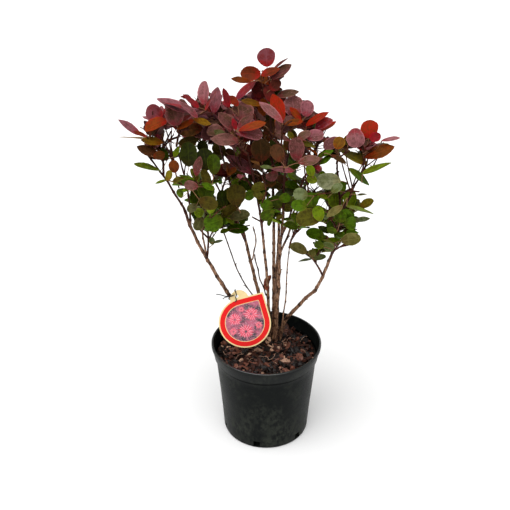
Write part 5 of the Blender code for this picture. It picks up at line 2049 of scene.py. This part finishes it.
def labelPlace():
    upright = Matrix.Rotation(math.radians(90) - label["lean"], 4, "X")
    return Matrix.Translation(label["middle"]) @ upright @ Matrix.Rotation(label["turn"], 4, "Z")


def dropOutline(inset, withTab):
    radius = label["radius"] - inset
    rounding = label["corner" if withTab else "printCorner"]
    corner = arcPoints((radius - rounding, radius - rounding), rounding, 0, 90, 4)
    if not withTab:
        return arcPoints((0, 0), radius, 90, 360, label["arcSteps"]) + corner
    tabX, tabSize = label["tabMiddle"][0], label["tabRadius"]
    meets = math.degrees(math.acos((tabX - tabSize) / radius))
    body = arcPoints((0, 0), radius, meets, 360, label["arcSteps"])
    tab = arcPoints(label["tabMiddle"], tabSize, *label["tabArc"])
    return body + corner + [(tabX + tabSize, radius)] + tab


def cardLayer(name, outlines, low, high, finish):
    # a flat cut shape between two heights on the card, given its thickness and made a mesh
    curve = bpy.data.curves.new(name, "CURVE")
    curve.dimensions = "2D"
    curve.fill_mode = "BOTH"
    curve.extrude = (high - low) / 2
    for outline in outlines:
        spline = curve.splines.new("POLY")
        spline.points.add(len(outline) - 1)
        spline.use_cyclic_u = True
        for spot, (x, y) in zip(spline.points, outline):
            spot.co = (x, y, 0, 1)
    layer = bpy.data.objects.new(name, curve)
    bpy.context.scene.collection.objects.link(layer)
    layer.location = (0, 0, (low + high) / 2)
    pick(layer)
    bpy.ops.object.convert(target="MESH")
    layer = bpy.context.object
    bpy.ops.object.transform_apply(location=True)
    bpy.ops.object.mode_set(mode="EDIT")
    for i in range(-label["strips"], label["strips"] + 1):
        # narrow strips let the card bow
        bpy.ops.mesh.select_all(action="SELECT")
        bpy.ops.mesh.bisect(plane_co=(i * label["stripWidth"], 0, 0), plane_no=(1, 0, 0))
    leaveEdit()
    layer.data.materials.clear()
    layer.data.materials.append(finish)
    return layer


def printFinish(name):
    colour = label["colours"][name]
    paint = Finish(name, colour, label["roughness"])
    grain = paint.noise(*label["grain"])
    paint.give("Base Color", paint.blend(grain, colour, shaded(colour, label["worn"])))
    paint.give("Coat Weight", label["coat"])
    return paint.material


def pictureFinish():
    # the blurred ground behind the blossoms
    look = label["picture"]
    paint = Finish("labelPicture", label["colours"]["labelPicture"], label["roughness"])
    mist = paint.noise(*look["mistPattern"]).step(*look["mistStep"])
    specks = paint.noise(*look["speckPattern"]).step(*look["speckStep"])
    ground = paint.blend(mist, look["dark"], look["mist"])
    paint.give("Base Color", paint.blend(specks * look["speckShare"], ground, look["specks"]))
    paint.give("Coat Weight", label["coat"])
    return paint.material


def pompon(heap, middle, radius, height, rng):
    # a round blossom of many narrow printed petals
    centre = Vector((*middle, height))
    for ring, (far, count) in enumerate(label["petalRings"]):
        ink = Vector((0, 0, label["petalInk"] * (ring + 1)))
        for k in range(count):
            turn = (k + eitherWay(rng, 0.3)) * math.tau / count
            reach = radius * far * rng.uniform(0.80, 1.12)
            way = Vector((math.cos(turn), math.sin(turn), 0))
            side = Vector((-way.y, way.x, 0)) * radius * label["petalWidth"]
            root, tip = centre + way * reach * 0.25, centre + way * reach
            waist = root.lerp(tip, 0.6)
            outline = [root, waist + side, tip, waist - side]
            faces = [(3, 2, 1, 0), (4, 5, 6, 7)] + bandFaces(0, 4)
            heap.add(outline + [corner + ink for corner in outline], faces, (ring + k) % 2)


def makeLabel():
    ink, face, rim = label["ink"], label["thickness"] / 2, label["rim"]
    hole = arcPoints(label["holeMiddle"], label["holeRadius"], 360, 15, 23)
    cream, red = printFinish("labelCream"), printFinish("labelRed")
    outer = dropOutline(rim, False)
    band = dropOutline(rim + label["band"], False)
    picture = dropOutline(rim + label["band"] + label["line"], False)
    layers = [cardLayer("labelCard", [dropOutline(0, True), hole], -face, face, cream)]
    layers.append(cardLayer("labelBand", [outer, band], face, face + ink, red))
    layers.append(cardLayer("labelPicture", [picture], face, face + ink, pictureFinish()))
    rng = random.Random(5)
    heap = Heap()
    for middle, radius in blossoms:
        pompon(heap, middle, radius, face + ink, rng)
    layers.append(heap.make("labelBlossoms", [printFinish("labelPink"), printFinish("labelRose")], 30))
    place = labelPlace()
    tabStart, tabShare = label["tabBow"]
    for layer in layers:
        for corner in layer.data.vertices:
            share = 1 if corner.co.y < tabStart else tabShare
            corner.co.z += label["bow"] * (corner.co.x / label["radius"]) ** 2 * share
        layer.data.transform(place)
        settle(layer, "label_card")
    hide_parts("label")
    print("label printed")


def addWire(heap, points, share=1):
    heap.add(*tubeForm(points, [tie["radius"] * share] * len(points), 8))


def overTab():
    # the wire's way over the top of the tab and through its hole
    x, y = label["holeMiddle"]
    skin = label["thickness"] / 2 + tie["radius"] + tie["gap"]
    edge = label["tabMiddle"][1] + label["tabRadius"] + tie["radius"] + tie["gap"]
    spots = [(x, edge + 0.001, 0), (x, edge - 0.002, skin)]
    spots += [(x, y + 0.0005, skin), (x, y, 0), (x, y - 0.0005, -skin)]
    place = labelPlace()
    return [place @ Vector(spot) for spot in spots]


def knotTurns(start, end):
    # turns of wire round the wire, between the stem and the card
    steps, away = tie["knotSteps"], (end - start).normalized()
    middle, across = start.lerp(end, tie["knotPlace"]), acrossOf(away, 0.6)
    points = []
    for i in range(steps + 1):
        turn = i / steps * math.tau * tie["knotTurns"]
        side = (across * math.cos(turn) + away.cross(across) * math.sin(turn)) * tie["knotRadius"]
        points.append(middle + away * (i / steps - 0.5) * tie["knotLength"] + side)
    return points


def makeTie(stem):
    centre, along, thick = stem.at(tie["place"])
    tab = overTab()
    towards = tab[0] - centre
    side = (towards - along * towards.dot(along)).normalized()
    front = along.cross(side)
    reach = thick + tie["radius"] + tie["gap"]
    first, last = tie["turn"]
    ring = []
    for i in range(tie["steps"] + 1):
        turn = math.radians(first + (last - first) * i / tie["steps"])
        climb = along * (tie["pitch"] * i / tie["steps"])
        ring.append(centre + (side * math.cos(turn) + front * math.sin(turn)) * reach + climb)
    heap = Heap()
    addWire(heap, smoothLine(ring + tab, 4))
    knot = knotTurns(ring[-1], tab[0])
    addWire(heap, knot, tie["knotWire"])
    for end, steps in zip((knot[0], knot[-1], knot[len(knot) // 2]), tie["tails"]):
        addWire(heap, smoothLine([end] + [end + Vector(step) for step in steps], 6))
    settle(heap.make("labelWire", [mottledFinish("blackWire", tie["look"])], 50), "tie_wire", "label_tie")
    print("wire tied")


setStudio()
makePot()
makeBark()
limbs = growLimbs()
dressLimbs(limbs)
makeFoliage(limbs)
makeLabel()
makeTie(limbs["stem_left"])
